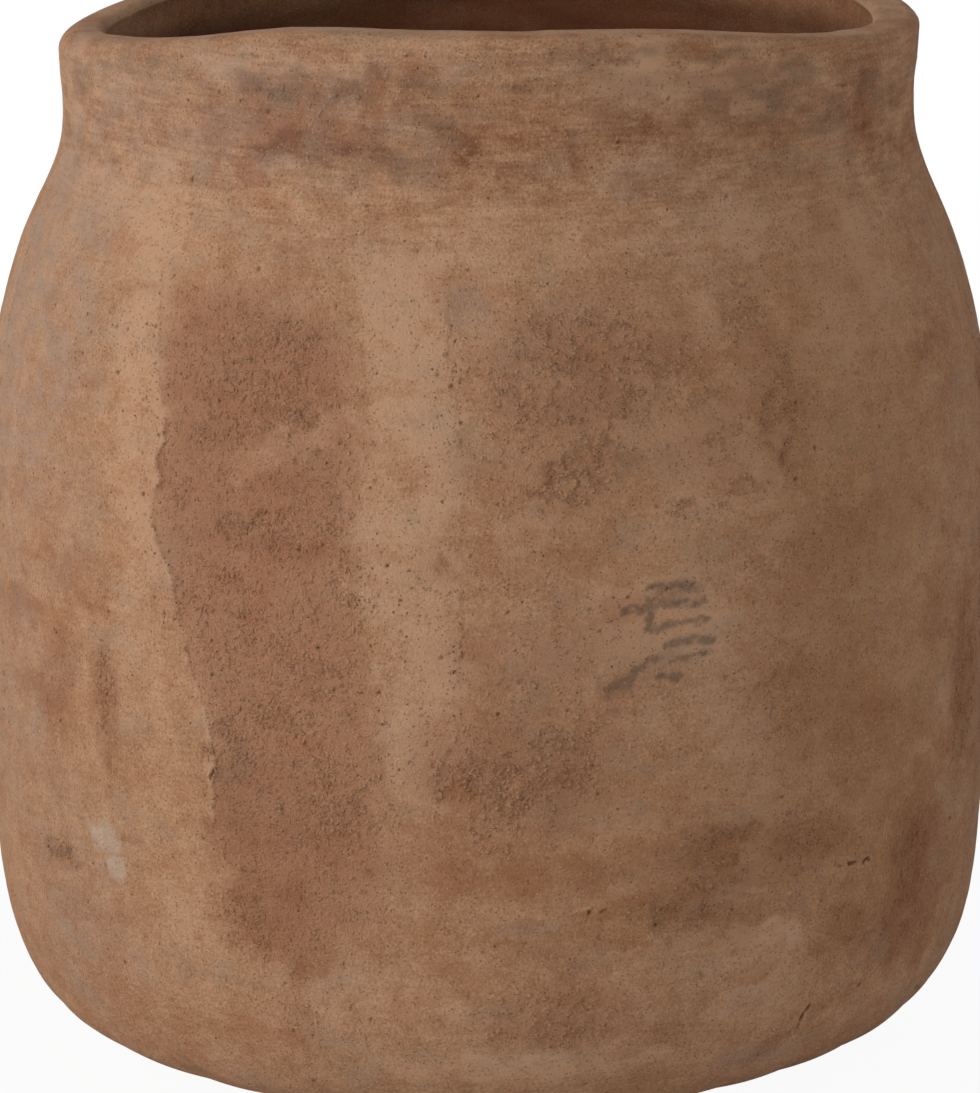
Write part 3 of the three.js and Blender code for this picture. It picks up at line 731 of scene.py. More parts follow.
# %% Stains
stain_places = {
    "ochre": [
        (185, 330, 62, 110, 0.7), (195, 190, 60, 90, 0.6), (80, 330, 50, 70, 0.4),
        (70, 150, 80, 50, 0.4),
    ],
    "iron": [
        (-92, 466, 50, 13, 0.6), (-59, 474, 4, 11, 0.9), (-128, 478, 14, 7, 0.5),
        (165, 458, 34, 7, 0.6), (243, 459, 24, 14, 0.6), (150, 484, 26, 4, 0.5),
        (-190, 390, 15, 5, 0.5), (-212, 348, 14, 6, 0.5), (-252, 345, 14, 5, 0.4),
        (-215, 255, 24, 16, 0.6, -10), (-272, 232, 28, 8, 0.7, 5), (-232, 205, 16, 26, 0.5),
        (40, 142, 66, 8, 0.5), (-178, 142, 9, 7, 0.5), (-95, 287, 50, 8, 0.45),
        (60, 372, 44, 20, 0.4), (256, 356, 13, 6, 0.7), (30, 110, 30, 8, 0.3),
        (200, 470, 16, 4, 0.5), (205, 442, 8, 10, 0.5), (-20, 279, 6, 4.5, 0.6),
        (-118, 403, 28, 7, 0.4), (258, 328, 24, 8, 0.4), (-82, 98, 14, 8, 0.3),
        (115, 224.5, 1.6, 1.0, 1.0), (-130, 375, 30, 16, 0.3), (230, 92, 40, 14, 0.4),
        (15, 240, 34, 18, 0.3), (-30, 150, 20, 10, 0.3), (-245, 155, 20, 8, 0.4),
        (60, 148, 110, 26, 0.4), (-100, 140, 34, 40, 0.3), (230, 130, 40, 60, 0.4),
        (-110, 340, 44, 60, 0.35), (40, 370, 50, 30, 0.35), (20, 190, 50, 30, 0.3),
    ],
    "smoke": [
        (-85, 479, 70, 6, 0.5), (20, 480, 50, 5, 0.35), (75, 470, 26, 8, 0.15),
        (150, 470, 60, 12, 0.45), (205, 462, 30, 10, 0.45), (-70, 449, 30, 8, 0.4),
        (84, 268, 12, 6, 0.6), (70, 232, 18, 8, 0.6, 25), (58, 225, 9, 4, 0.5, 8),
        (-120, 480, 26, 6, 0.3), (-42, 446, 18, 9, 0.35), (180, 484, 20, 5, 0.45),
        (275, 470, 16, 12, 0.4), (-222, 489, 50, 4, 0.35), (-288, 482, 18, 7, 0.4),
        (110, 491, 40, 4, 0.4), (40, 489, 40, 4, 0.25), (-280, 444, 24, 5, 0.25),
        (-120, 180, 10, 26, 0.25), (47, 456, 7, 6, 0.4), (240, 480, 26, 7, 0.45),
        (70, 328, 16, 8, 0.3), (-272, 197, 26, 5, 0.2), (57, 212, 6, 4, 0.3),
        (20, 116, 5, 1.6, 0.6), (-165, 26, 14, 5, 0.4),
    ],
    "bloom": [
        (-285, 380, 70, 120, 0.75), (-290, 200, 40, 80, 0.4), (-190, 465, 140, 30, 0.55),
        (-232, 300, 34, 40, 0.3), (-225, 105, 50, 60, 0.35), (-38, 444, 18, 12, 0.5),
        (-10, 394, 12, 13, 0.6), (82, 441, 24, 8, 0.5), (140, 430, 36, 10, 0.2),
        (122, 392, 10, 8, 0.15), (60, 294, 12, 10, 0.35), (-40, 486, 40, 8, 0.35),
        (-75, 438, 14, 6, 0.35), (250, 188, 12, 10, 0.15), (130, 72, 14, 9, 0.4),
        (-100, 418, 60, 12, 0.2), (285, 334, 14, 7, 0.4), (-262, 200, 30, 14, 0.3),
        (140, 38, 30, 8, 0.6), (210, 278, 10, 12, 0.15), (20, 118, 16, 5, 0.4),
        (-70, 82, 20, 8, 0.3),
    ],
    "lime": [
        (-198, 135, 10, 9, 0.9, -20), (-191, 124, 7, 5, 0.9), (-206, 138, 5, 4, 0.5),
        (148, 97, 5, 5, 0.3), (10, 52, 24, 4, 0.2),
    ],
}
stains = {}
for stain, places in stain_places.items():
    stains[stain] = np.maximum.reduce(list(blots(places)))
finger_marks = [
    ([(60, 260), (70, 261), (84, 262), (98, 263)], 4), ([(72, 270), (84, 271), (91, 270)], 4),
    ([(72, 252), (82, 253), (99, 254)], 4), ([(72, 270), (72, 260), (73, 251)], 4),
    ([(80, 244), (90, 245), (102, 245)], 4), ([(84, 237), (94, 238), (101, 239)], 3.5),
    ([(76, 229), (86, 229)], 3.5), ([(54, 226), (64, 231), (74, 238)], 5),
]
for seed, stain in enumerate(("smoke", "iron", "bloom")):
    islands = smooth_step(-0.12, 0.12, rough_cloud(sheet * [0.6, 0.6, 1], 9, 93 + 7 * seed, 5))
    stains[stain] *= 0.4 + 0.75 * islands
stains["iron"] = np.maximum(stains["iron"], 0.9 * stroke([(-61, 484), (-60, 474), (-58, 464)], 9))
finger_breaks = smooth_step(-0.7, 0.1, rough_cloud(sheet, 4, 113))
for path, width in finger_marks:
    stains["smoke"] = np.maximum(stains["smoke"], 0.9 * stroke(path, width) * finger_breaks)
sooty = 0.35 * outside * smooth_step(0.1, 0.6, rough_cloud(sheet * [0.35, 0.35, 1], 30, 61))
stains["smoke"] += sooty * (smooth_step(455, 480, up) * (0.6 + 0.4 * behind))
stains["iron"] += 0.5 * smooth_step(0.1, 0.5, rough_cloud(sheet, 42, 67)) * behind
stains["bloom"] += 0.4 * smooth_step(0.15, 0.5, rough_cloud(sheet, 36, 69)) * behind
# Inside the jar the wall darkens from 2 mm to 40 mm below the lip and stays dark further down: a soil
# stain and painted shade under the lip.
inner_soil_and_shade = ~outside * smooth_step(LIP_HEIGHT - 2, LIP_HEIGHT - 40, up)
inner_soil_and_shade = inner_soil_and_shade * (0.9 + 0.3 * rough_cloud(sheet * [0.2, 0.2, 1], 9, 97))
brushed = np.clip(smooth_step(405, 440, up) + 0.35 - crumbly, 0.1, 1) * outside
print("stains:", ", ".join(stains))

# %% [markdown]
# ## Node trees from a script
# Materials and Geometry Nodes are both trees of nodes. One helper adds a node, sets its settings
# and links its inputs, so that each node takes a line or two. Colours are written as they look
# on a screen, and a second helper turns them into the linear values that nodes work with.

# %% Helpers for node trees
MATH = "ShaderNodeMath"


def linear(hex_colour):
    """An sRGB hex colour as the linear values that a shader takes."""
    parts = [int(hex_colour[n:n + 2], 16) / 255 for n in (1, 3, 5)]
    return [p / 12.92 if p <= 0.04045 else ((p + 0.055) / 1.055) ** 2.4 for p in parts] + [1]


def add_node(tree, kind, settings=None, inputs=None):
    """A node with its settings; an input is a value, or another node's output to link."""
    node = tree.nodes.new(kind)
    for name, value in (settings or {}).items():
        setattr(node, name, value)
    for socket, value in (inputs or {}).items():
        if isinstance(value, bpy.types.NodeSocket):
            tree.links.new(value, node.inputs[socket])
        else:
            node.inputs[socket].default_value = value
    return node


print("middle tone of the clay, linear:", [round(part, 3) for part in linear("#a47657")[:3]])

# %% [markdown]
# ## Crumbs as a pattern
# Crumbs of coarse clay are lumps of about 2 mm, no two alike. Each cell of a Voronoi texture is
# one possible crumb, and a little noise twists the cells out of their even shapes. The same
# pattern serves twice: the material draws it finely, and the fine relief raises it.

# %% The crumb pattern
CRUMB_SIZE = 2.1 * MM
CRUMB_TWIST = 2.2 * MM
SANDY_SHARE = 0.14


def crumb_pattern(tree, splitter, spot, scale, twist, marked):
    """Distance to each crumb's middle, its random numbers, and whether it is there."""
    bend = add_node(tree, "ShaderNodeTexNoise", None, {"Vector": spot, "Scale": scale, "Detail": 1})
    around_zero = add_node(tree, "ShaderNodeVectorMath", {"operation": "SUBTRACT"}, {
        0: bend.outputs["Color"], 1: (0.5, 0.5, 0.5)})
    reach = add_node(tree, "ShaderNodeVectorMath", {"operation": "SCALE"}, {
        0: around_zero.outputs[0], "Scale": twist})
    bent_spot = add_node(tree, "ShaderNodeVectorMath", {"operation": "ADD"}, {
        0: spot, 1: reach.outputs[0]})
    cells = add_node(tree, "ShaderNodeTexVoronoi", None, {
        "Vector": bent_spot.outputs[0], "Scale": scale})
    luck = add_node(tree, splitter, None, {"Color": cells.outputs["Color"]})
    cover = add_node(tree, MATH, {"operation": "MULTIPLY_ADD"}, {
        0: marked["crumbly"], 1: SANDY_SHARE, 2: marked["coarse"]})
    is_there = add_node(tree, MATH, {"operation": "LESS_THAN"}, {
        0: luck.outputs[0], 1: cover.outputs[0]})
    return cells.outputs["Distance"], luck, is_there.outputs[0]


print("about", round(1 / (CRUMB_SIZE / MM / 10) ** 2), "crumbs fit on a square centimetre")

# %% [markdown]
# ## The clay
# Unglazed terracotta is a low-fired, porous earthenware. Nothing on it shines: roughness is
# above 0.9 and the specular level is low. What it does have is colour variation at every scale,
# from hand-sized washes of slip to sand grains of under a millimetre, with shade painted into
# its hollows and highlights painted onto its crumbs. The material reads the marks from attributes and
# adds the grain on Object coordinates.

# %% Terracotta
TONES = {0.0: "#7d5339", 0.22: "#936547", 0.45: "#a47657", 0.7: "#b58865", 1.0: "#c89c7b"}
STAIN_COLOURS = {
    "ochre": "#a9743f", "iron": "#91593c", "bloom": "#a08c80", "smoke": "#6b5748", "lime": "#c9b7a3"}
WALL_MARKS = ("tone", "crumbly", "coarse", "brushed", "hollow_shade_and_cracks", "pitted", "inner_soil_and_shade")
WASH_SIZE = 11.11 * MM
GRAIN_SIZE = 1.316 * MM
STREAK_SIZE = 2.381 * MM
SMEAR_SIZE = 22.73 * MM
SAND_SIZE = 1.282 * MM
PIT_SIZE = 3.03 * MM
FINE_SAND_SIZE = 1.176 * MM
STAIN_STRENGTHS = {"ochre": 0.35, "iron": 0.6, "bloom": 0.5, "smoke": 0.85, "lime": 0.6}


def make_terracotta(name):
    clay = bpy.data.materials.new(name)
    clay.use_nodes = True
    tree = clay.node_tree
    place = tree.nodes.new("ShaderNodeTexCoord").outputs["Object"]
    mark = {
        trait: add_node(tree, "ShaderNodeAttribute", {"attribute_name": trait}).outputs["Fac"]
        for trait in (*WALL_MARKS, *STAIN_COLOURS)
    }

    # Washes of slip of 11 mm, grain of 1.3 mm and level brush streaks of 2 mm.
    wash = add_node(tree, "ShaderNodeTexNoise", None, {
        "Vector": place, "Scale": 1 / WASH_SIZE, "Detail": 9, "Roughness": 0.74})
    grain = add_node(tree, "ShaderNodeTexNoise", None, {
        "Vector": place, "Scale": 1 / GRAIN_SIZE, "Detail": 3, "Roughness": 0.65})
    level = add_node(tree, "ShaderNodeMapping", None, {"Vector": place, "Scale": (0.1, 0.1, 1)})
    streaks = add_node(tree, "ShaderNodeTexNoise", None, {
        "Vector": level.outputs[0], "Scale": 1 / STREAK_SIZE, "Detail": 5, "Roughness": 0.65})
    tone_now = mark["tone"]
    for source, amount in ((wash, 0.9), (grain, 1.25)):
        around_zero = add_node(tree, MATH, {"operation": "SUBTRACT"}, {
            0: source.outputs["Fac"], 1: 0.5})
        tone_now = add_node(tree, MATH, {"operation": "MULTIPLY_ADD"}, {
            0: around_zero.outputs[0], 1: amount, 2: tone_now}).outputs[0]
    streak_part = add_node(tree, MATH, {"operation": "SUBTRACT"}, {
        0: streaks.outputs["Fac"], 1: 0.5})
    streak_part = add_node(tree, MATH, {"operation": "MULTIPLY"}, {
        0: streak_part.outputs[0], 1: mark["brushed"]})
    tone_now = add_node(tree, MATH, {"operation": "MULTIPLY_ADD"}, {
        0: streak_part.outputs[0], 1: 1.0, 2: tone_now}).outputs[0]
    ramp = add_node(tree, "ShaderNodeValToRGB", None, {"Fac": tone_now})
    stops = ramp.color_ramp.elements
    while len(stops) < len(TONES):
        stops.new(0.5)
    for stop, (position, colour) in zip(stops, TONES.items()):
        stop.position = position
        stop.color = linear(colour)
    colour = ramp.outputs["Color"]

    # Smears of 20 mm with ragged edges lean to iron red or to the grey of the slip.
    lying = add_node(tree, "ShaderNodeMapping", None, {"Vector": place, "Scale": (0.6, 0.6, 1)})
    smears = add_node(tree, "ShaderNodeTexNoise", None, {
        "Vector": lying.outputs[0], "Scale": 1 / SMEAR_SIZE, "Detail": 9, "Roughness": 0.7})
    for low, high, tint, strength in ((0.53, 0.6, "#a0643c", 0.28), (0.46, 0.39, "#a8917a", 0.28)):
        lean = add_node(tree, "ShaderNodeMapRange", None, {
            "Value": smears.outputs["Fac"], "From Min": low, "From Max": high, "To Max": strength})
        mix = add_node(tree, "ShaderNodeMix", {"data_type": "RGBA"}, {
            "Factor": lean.outputs[0], 6: colour, 7: linear(tint)})
        colour = mix.outputs[2]

    # Bare clay is redder than the slip, and this red also stands in for the warm light in the shade
    # between its crumbs: painted warm shade.
    bare_red_and_warm_shade = add_node(tree, MATH, {"operation": "MULTIPLY"}, {
        0: mark["crumbly"], 1: 0.4})
    mix = add_node(tree, "ShaderNodeMix", {"data_type": "RGBA"}, {
        "Factor": bare_red_and_warm_shade.outputs[0], 6: colour, 7: linear("#d48b60")})
    colour = mix.outputs[2]

    # Each stain is uneven, because it soaked into the clay by its grain.
    soak = add_node(tree, "ShaderNodeMapRange", None, {
        "Value": wash.outputs["Fac"], "From Min": 0.35, "From Max": 0.62})
    for stain, stain_colour in STAIN_COLOURS.items():
        amount = add_node(tree, MATH, {"operation": "MULTIPLY"}, {
            0: mark[stain], 1: STAIN_STRENGTHS[stain]})
        uneven = add_node(tree, MATH, {"operation": "MULTIPLY_ADD"}, {
            0: soak.outputs[0], 1: 0.5, 2: 0.6})
        amount = add_node(tree, MATH, {"operation": "MULTIPLY", "use_clamp": True}, {
            0: amount.outputs[0], 1: uneven.outputs[0]})
        mix = add_node(tree, "ShaderNodeMix", {"data_type": "RGBA"}, {
            "Factor": amount.outputs[0], 6: colour, 7: linear(stain_colour)})
        colour = mix.outputs[2]

    # Sand and grog: one grain in eight is pale, one in six is dark.
    sand = add_node(tree, "ShaderNodeTexVoronoi", None, {
        "Vector": place, "Scale": 1 / SAND_SIZE})
    pick = add_node(tree, "ShaderNodeSeparateColor", None, {"Color": sand.outputs["Color"]})
    for channel, threshold, grain_colour, strength in (
            ("Red", 0.88, "#cfae90", 0.45), ("Green", 0.84, "#5c3d2a", 0.6)):
        chosen = add_node(tree, MATH, {"operation": "GREATER_THAN"}, {
            0: pick.outputs[channel], 1: threshold})
        core = add_node(tree, "ShaderNodeMapRange", None, {
            "Value": sand.outputs["Distance"], "From Min": 0.45, "From Max": 0.2})
        dot = add_node(tree, MATH, {"operation": "MULTIPLY"}, {
            0: chosen.outputs[0], 1: core.outputs[0]})
        dot = add_node(tree, MATH, {"operation": "MULTIPLY"}, {
            0: dot.outputs[0], 1: strength})
        mix = add_node(tree, "ShaderNodeMix", {"data_type": "RGBA"}, {
            "Factor": dot.outputs[0], 6: colour, 7: linear(grain_colour)})
        colour = mix.outputs[2]

    # Pits of half a millimetre to 1 mm and 3 mm apart, where bits of straw burnt out, each darkened
    # with painted shade.
    pits = add_node(tree, "ShaderNodeTexVoronoi", None, {
        "Vector": place, "Scale": 1 / PIT_SIZE})
    pit_luck = add_node(tree, "ShaderNodeSeparateColor", None, {"Color": pits.outputs["Color"]})
    is_pit = add_node(tree, MATH, {"operation": "LESS_THAN"}, {
        0: pit_luck.outputs["Red"], 1: mark["pitted"]})
    pit_size = add_node(tree, MATH, {"operation": "MULTIPLY_ADD"}, {
        0: pit_luck.outputs["Green"], 1: 0.16, 2: 0.08})
    pit_core = add_node(tree, "ShaderNodeMapRange", None, {
        "Value": pits.outputs["Distance"], "From Min": pit_size.outputs[0], "From Max": 0.05})
    pit = add_node(tree, MATH, {"operation": "MULTIPLY"}, {
        0: is_pit.outputs[0], 1: pit_core.outputs[0]})
    pit_painted_shade = add_node(tree, MATH, {"operation": "MULTIPLY"}, {
        0: pit.outputs[0], 1: 0.75})
    mix = add_node(tree, "ShaderNodeMix", {"data_type": "RGBA"}, {
        "Factor": pit_painted_shade.outputs[0], 6: colour, 7: linear("#5a3d2b")})
    colour = mix.outputs[2]

    # The mesh draws the crumbs softly, so the shader draws the same crumbs once more, sharply
    # and with a painted highlight on their tops.
    from_crumb, _, is_crumb = crumb_pattern(
        tree, "ShaderNodeSeparateColor", place, 1 / CRUMB_SIZE, CRUMB_TWIST, mark)
    crumb_top = add_node(tree, "ShaderNodeMapRange", {"interpolation_type": "SMOOTHSTEP"}, {
        "Value": from_crumb, "From Min": 0.55, "From Max": 0.2})
    crumb = add_node(tree, MATH, {"operation": "MULTIPLY"}, {
        0: is_crumb, 1: crumb_top.outputs[0]})
    crumb_painted_highlight = add_node(tree, MATH, {"operation": "MULTIPLY"}, {
        0: crumb.outputs[0], 1: 0.35})
    mix = add_node(tree, "ShaderNodeMix", {"data_type": "RGBA"}, {
        "Factor": crumb_painted_highlight.outputs[0], 6: colour, 7: linear("#cba27c")})
    colour = mix.outputs[2]

    # Painted shade in the pits and low spots, with the cracks' dark lines, and inside the jar a soil
    # stain with painted shade.
    for trait, shade_and_stain_colour, strength in (("hollow_shade_and_cracks", "#54382a", 0.75), ("inner_soil_and_shade", "#562a0f", 0.83)):
        amount = add_node(tree, MATH, {"operation": "MULTIPLY", "use_clamp": True}, {
            0: mark[trait], 1: strength})
        mix = add_node(tree, "ShaderNodeMix", {"data_type": "RGBA"}, {
            "Factor": amount.outputs[0], 6: colour, 7: linear(shade_and_stain_colour)})
        colour = mix.outputs[2]

    # Sand of 1.2 mm, finer than the mesh and stronger where the clay is crumbly.
    fine = add_node(tree, "ShaderNodeTexNoise", None, {
        "Vector": place, "Scale": 1 / FINE_SAND_SIZE, "Detail": 3, "Roughness": 0.7})
    fine_depth = add_node(tree, MATH, {"operation": "MULTIPLY_ADD"}, {
        0: mark["crumbly"], 1: 2.4, 2: 1.25})
    fine_height = add_node(tree, MATH, {"operation": "MULTIPLY"}, {
        0: fine.outputs["Fac"], 1: fine_depth.outputs[0]})
    with_crumbs = add_node(tree, MATH, {"operation": "MULTIPLY_ADD"}, {
        0: crumb.outputs[0], 1: 1.2, 2: fine_height.outputs[0]})
    height = add_node(tree, MATH, {"operation": "SUBTRACT"}, {
        0: with_crumbs.outputs[0], 1: pit.outputs[0]})
    bump = add_node(tree, "ShaderNodeBump", None, {
        "Height": height.outputs[0], "Strength": 1.0, "Distance": 1.0 * MM})
    shader = tree.nodes["Principled BSDF"]
    shader.inputs["Roughness"].default_value = 0.94
    shader.inputs["Specular IOR Level"].default_value = 0.22
    tree.links.new(colour, shader.inputs["Base Color"])
    tree.links.new(bump.outputs["Normal"], shader.inputs["Normal"])
    return clay


clay = make_terracotta("unglazed_terracotta")
print("nodes in the terracotta:", len(clay.node_tree.nodes))

# %% [markdown]
# ## Fine relief with Geometry Nodes
# Crumbs, pits and brush marks all follow the surface by a rule, so a node tree makes them: it
# moves each point of the sheet along its normal: out for a crumb, in for a pit, a sandy hollow or
# a brush mark. The masks worked out above say where the clay is crumbly, pitted or brushed. It
# also writes the share of each point that lies in a pit, so that the material can paint shade
# into the pits.

# %% A node tree for fine relief
relief_tree = bpy.data.node_groups.new("clay relief", "GeometryNodeTree")
RELIEF_INPUTS = {
    "Crumb size": ("NodeSocketFloat", CRUMB_SIZE), "Crumb height": ("NodeSocketFloat", 0.9 * MM),
    "Crumb twist": ("NodeSocketFloat", CRUMB_TWIST), "Sand spacing": ("NodeSocketFloat", 3.2 * MM),
    "Sand depth": ("NodeSocketFloat", 0.5 * MM),
    "Pit spacing": ("NodeSocketFloat", 4.4 * MM), "Pit depth": ("NodeSocketFloat", 1.0 * MM),
    "Brush spacing": ("NodeSocketFloat", 1.9 * MM), "Brush depth": ("NodeSocketFloat", 0.22 * MM),
    "Clay": ("NodeSocketMaterial", clay),
}
relief_tree.interface.new_socket("Geometry", in_out="INPUT", socket_type="NodeSocketGeometry")
socket_ids = {}
for socket, (kind, value) in RELIEF_INPUTS.items():
    made = relief_tree.interface.new_socket(socket, in_out="INPUT", socket_type=kind)
    socket_ids[socket] = made.identifier
relief_tree.interface.new_socket("Geometry", in_out="OUTPUT", socket_type="NodeSocketGeometry")
entry = relief_tree.nodes.new("NodeGroupInput")
leave = relief_tree.nodes.new("NodeGroupOutput")


masks = {
    trait: add_node(relief_tree, "GeometryNodeInputNamedAttribute", {"data_type": "FLOAT"}, {
        "Name": trait}).outputs["Attribute"]
    for trait in ("crumbly", "coarse", "pitted", "brushed")
}
spot = relief_tree.nodes.new("GeometryNodeInputPosition").outputs[0]

# %% [markdown]
# Crumbs come first. The pattern says where they lie, and each one is raised by its own height.

# %% Crumbs
crumb_scale = add_node(relief_tree, MATH, {"operation": "DIVIDE"}, {
    0: 1.0, 1: entry.outputs["Crumb size"]})
from_crumb, crumb_luck, is_crumb = crumb_pattern(
    relief_tree, "FunctionNodeSeparateColor", spot, crumb_scale.outputs[0],
    entry.outputs["Crumb twist"], masks)
crumb_top = add_node(relief_tree, "ShaderNodeMapRange", {"interpolation_type": "SMOOTHSTEP"}, {
    "Value": from_crumb, "From Min": 0.62, "From Max": 0.2})
crumb_part = add_node(relief_tree, MATH, {"operation": "MULTIPLY"}, {
    0: is_crumb, 1: crumb_top.outputs[0]})
crumb_size = add_node(relief_tree, MATH, {"operation": "MULTIPLY_ADD"}, {
    0: crumb_luck.outputs[1], 1: 0.65, 2: 0.35})
crumb_share = add_node(relief_tree, MATH, {"operation": "MULTIPLY"}, {
    0: crumb_part.outputs[0], 1: crumb_size.outputs[0]})
crumb_lift = add_node(relief_tree, MATH, {"operation": "MULTIPLY"}, {
    0: crumb_share.outputs[0], 1: entry.outputs["Crumb height"]})

print("nodes so far:", len(relief_tree.nodes))

# %% [markdown]
# Between the crumbs the bare clay has washed out unevenly, as sand does, so noise takes it down.

# %% Sandy hollows
sand_scale = add_node(relief_tree, MATH, {"operation": "DIVIDE"}, {
    0: 1.0, 1: entry.outputs["Sand spacing"]})
sand = add_node(relief_tree, "ShaderNodeTexNoise", None, {
    "Vector": spot, "Scale": sand_scale.outputs[0], "Detail": 4, "Roughness": 0.75})
sand_fall = add_node(relief_tree, MATH, {"operation": "MULTIPLY"}, {
    0: sand.outputs["Fac"], 1: masks["crumbly"]})
sand_depth = add_node(relief_tree, MATH, {"operation": "MULTIPLY"}, {
    0: sand_fall.outputs[0], 1: entry.outputs["Sand depth"]})

print("nodes so far:", len(relief_tree.nodes))

# %% [markdown]
# A pit is a small round hole. It has its own Voronoi cells, and `pitted` is the share of the
# cells that hold one.

# %% Pits
pit_scale = add_node(relief_tree, MATH, {"operation": "DIVIDE"}, {
    0: 1.0, 1: entry.outputs["Pit spacing"]})
pits = add_node(relief_tree, "ShaderNodeTexVoronoi", None, {
    "Vector": spot, "Scale": pit_scale.outputs[0]})
luck = add_node(relief_tree, "FunctionNodeSeparateColor", None, {"Color": pits.outputs["Color"]})
is_pit = add_node(relief_tree, MATH, {"operation": "LESS_THAN"}, {
    0: luck.outputs[0], 1: masks["pitted"]})
pit_size = add_node(relief_tree, MATH, {"operation": "MULTIPLY_ADD"}, {
    0: luck.outputs[1], 1: 0.12, 2: 0.1})
pit_reach = add_node(relief_tree, MATH, {"operation": "DIVIDE"}, {
    0: pits.outputs["Distance"], 1: pit_size.outputs[0]})
pit_shape = add_node(relief_tree, "ShaderNodeMapRange", {"interpolation_type": "SMOOTHSTEP"}, {
    "Value": pit_reach.outputs[0], "From Min": 1.3, "From Max": 0.4})
pit_part = add_node(relief_tree, MATH, {"operation": "MULTIPLY"}, {
    0: is_pit.outputs[0], 1: pit_shape.outputs[0]})
pit_depth = add_node(relief_tree, MATH, {"operation": "MULTIPLY"}, {
    0: pit_part.outputs[0], 1: entry.outputs["Pit depth"]})

print("nodes so far:", len(relief_tree.nodes))

# %% [markdown]
# A wet brush went round the neck. Noise that is stretched level gives its fine grooves.

# %% Brush marks
brush_scale = add_node(relief_tree, MATH, {"operation": "DIVIDE"}, {
    0: 1.0, 1: entry.outputs["Brush spacing"]})
lengthways = add_node(relief_tree, "ShaderNodeVectorMath", {"operation": "MULTIPLY"}, {
    0: spot, 1: (0.07, 0.07, 1)})
brush = add_node(relief_tree, "ShaderNodeTexNoise", None, {
    "Vector": lengthways.outputs[0], "Detail": 3, "Scale": brush_scale.outputs[0]})
brush_gap = add_node(relief_tree, MATH, {"operation": "SUBTRACT"}, {
    0: 1.0, 1: brush.outputs["Fac"]})
brush_fall = add_node(relief_tree, MATH, {"operation": "MULTIPLY"}, {
    0: brush_gap.outputs[0], 1: masks["brushed"]})
brush_depth = add_node(relief_tree, MATH, {"operation": "MULTIPLY"}, {
    0: brush_fall.outputs[0], 1: entry.outputs["Brush depth"]})

print("nodes so far:", len(relief_tree.nodes))

# %% [markdown]
# All heights and depths are added up, and each point moves along its normal by the sum.

# %% Pushing the points in
sand_and_pits = add_node(relief_tree, MATH, {"operation": "ADD"}, {
    0: sand_depth.outputs[0], 1: pit_depth.outputs[0]})
depth_in = add_node(relief_tree, MATH, {"operation": "ADD"}, {
    0: sand_and_pits.outputs[0], 1: brush_depth.outputs[0]})
outward_by = add_node(relief_tree, MATH, {"operation": "SUBTRACT"}, {
    0: crumb_lift.outputs[0], 1: depth_in.outputs[0]})
push = add_node(relief_tree, "ShaderNodeVectorMath", {"operation": "SCALE"}, {
    0: relief_tree.nodes.new("GeometryNodeInputNormal").outputs[0], "Scale": outward_by.outputs[0]})
moved = add_node(relief_tree, "GeometryNodeSetPosition", None, {
    "Geometry": entry.outputs["Geometry"], "Offset": push.outputs[0]})
# The pit share is stored for the material, which paints shade into the pits.
stored = add_node(relief_tree, "GeometryNodeStoreNamedAttribute", {
    "data_type": "FLOAT", "domain": "POINT"}, {
    "Geometry": moved.outputs[0], "Name": "hollow_shade_and_cracks", "Value": pit_part.outputs[0]})
whole = add_node(relief_tree, "GeometryNodeRealizeInstances", None, {
    "Geometry": stored.outputs[0]})
dressed = add_node(relief_tree, "GeometryNodeSetMaterial", None, {
    "Geometry": whole.outputs[0], "Material": entry.outputs["Clay"]})
relief_tree.links.new(dressed.outputs[0], leave.inputs[0])
print("nodes in the relief tree:", len(relief_tree.nodes))

# %% [markdown]
# ## From the sheet to a mesh
# The whole skin becomes one closed mesh, the tree is run on it, and the points and hollows are
# read back, so that the skin can be cut into pieces without a break in the relief.


# %% Mesh helpers
def quad_faces(index, is_ring):
    """Quads between neighbouring rows and columns; the rows always close on themselves."""
    above = np.roll(index, -1, axis=0)
    if is_ring:
        right = np.roll(index, -1, axis=1)
        above_right = np.roll(above, -1, axis=1)
        return np.stack([index, right, above_right, above], axis=-1).reshape(-1, 4)
    corners = [index[:, :-1], index[:, 1:], above[:, 1:], above[:, :-1]]
    return np.stack(corners, axis=-1).reshape(-1, 4)


def make_mesh(name, points, quads, triangles, traits):
    """A mesh in metres from points in millimetres, with its traits as attributes."""
    mesh = bpy.data.meshes.new(name)
    mesh.vertices.add(len(points))
    mesh.vertices.foreach_set("co", (points * MM).astype(np.float32).ravel())
    mesh.loops.add(quads.size + triangles.size)
    mesh.loops.foreach_set("vertex_index", np.concatenate([quads.ravel(), triangles.ravel()]))
    mesh.polygons.add(len(quads) + len(triangles))
    starts = [np.arange(len(quads)) * 4, quads.size + np.arange(len(triangles)) * 3]
    mesh.polygons.foreach_set("loop_start", np.concatenate(starts))
    mesh.update(calc_edges=True)
    for trait, values in traits.items():
        layer = mesh.attributes.new(trait, "FLOAT", "POINT")
        layer.data.foreach_set("value", values.astype(np.float32).ravel())
    return mesh


def evaluate(source_object):
    """The result of an object's modifiers as a plain mesh."""
    depsgraph = bpy.context.evaluated_depsgraph_get()
    return bpy.data.meshes.new_from_object(source_object.evaluated_get(depsgraph))


# %% [markdown]
# The modifier's inputs are set before the skin is evaluated. What comes back is only the moved
# points and the share of each point that lies in a pit.

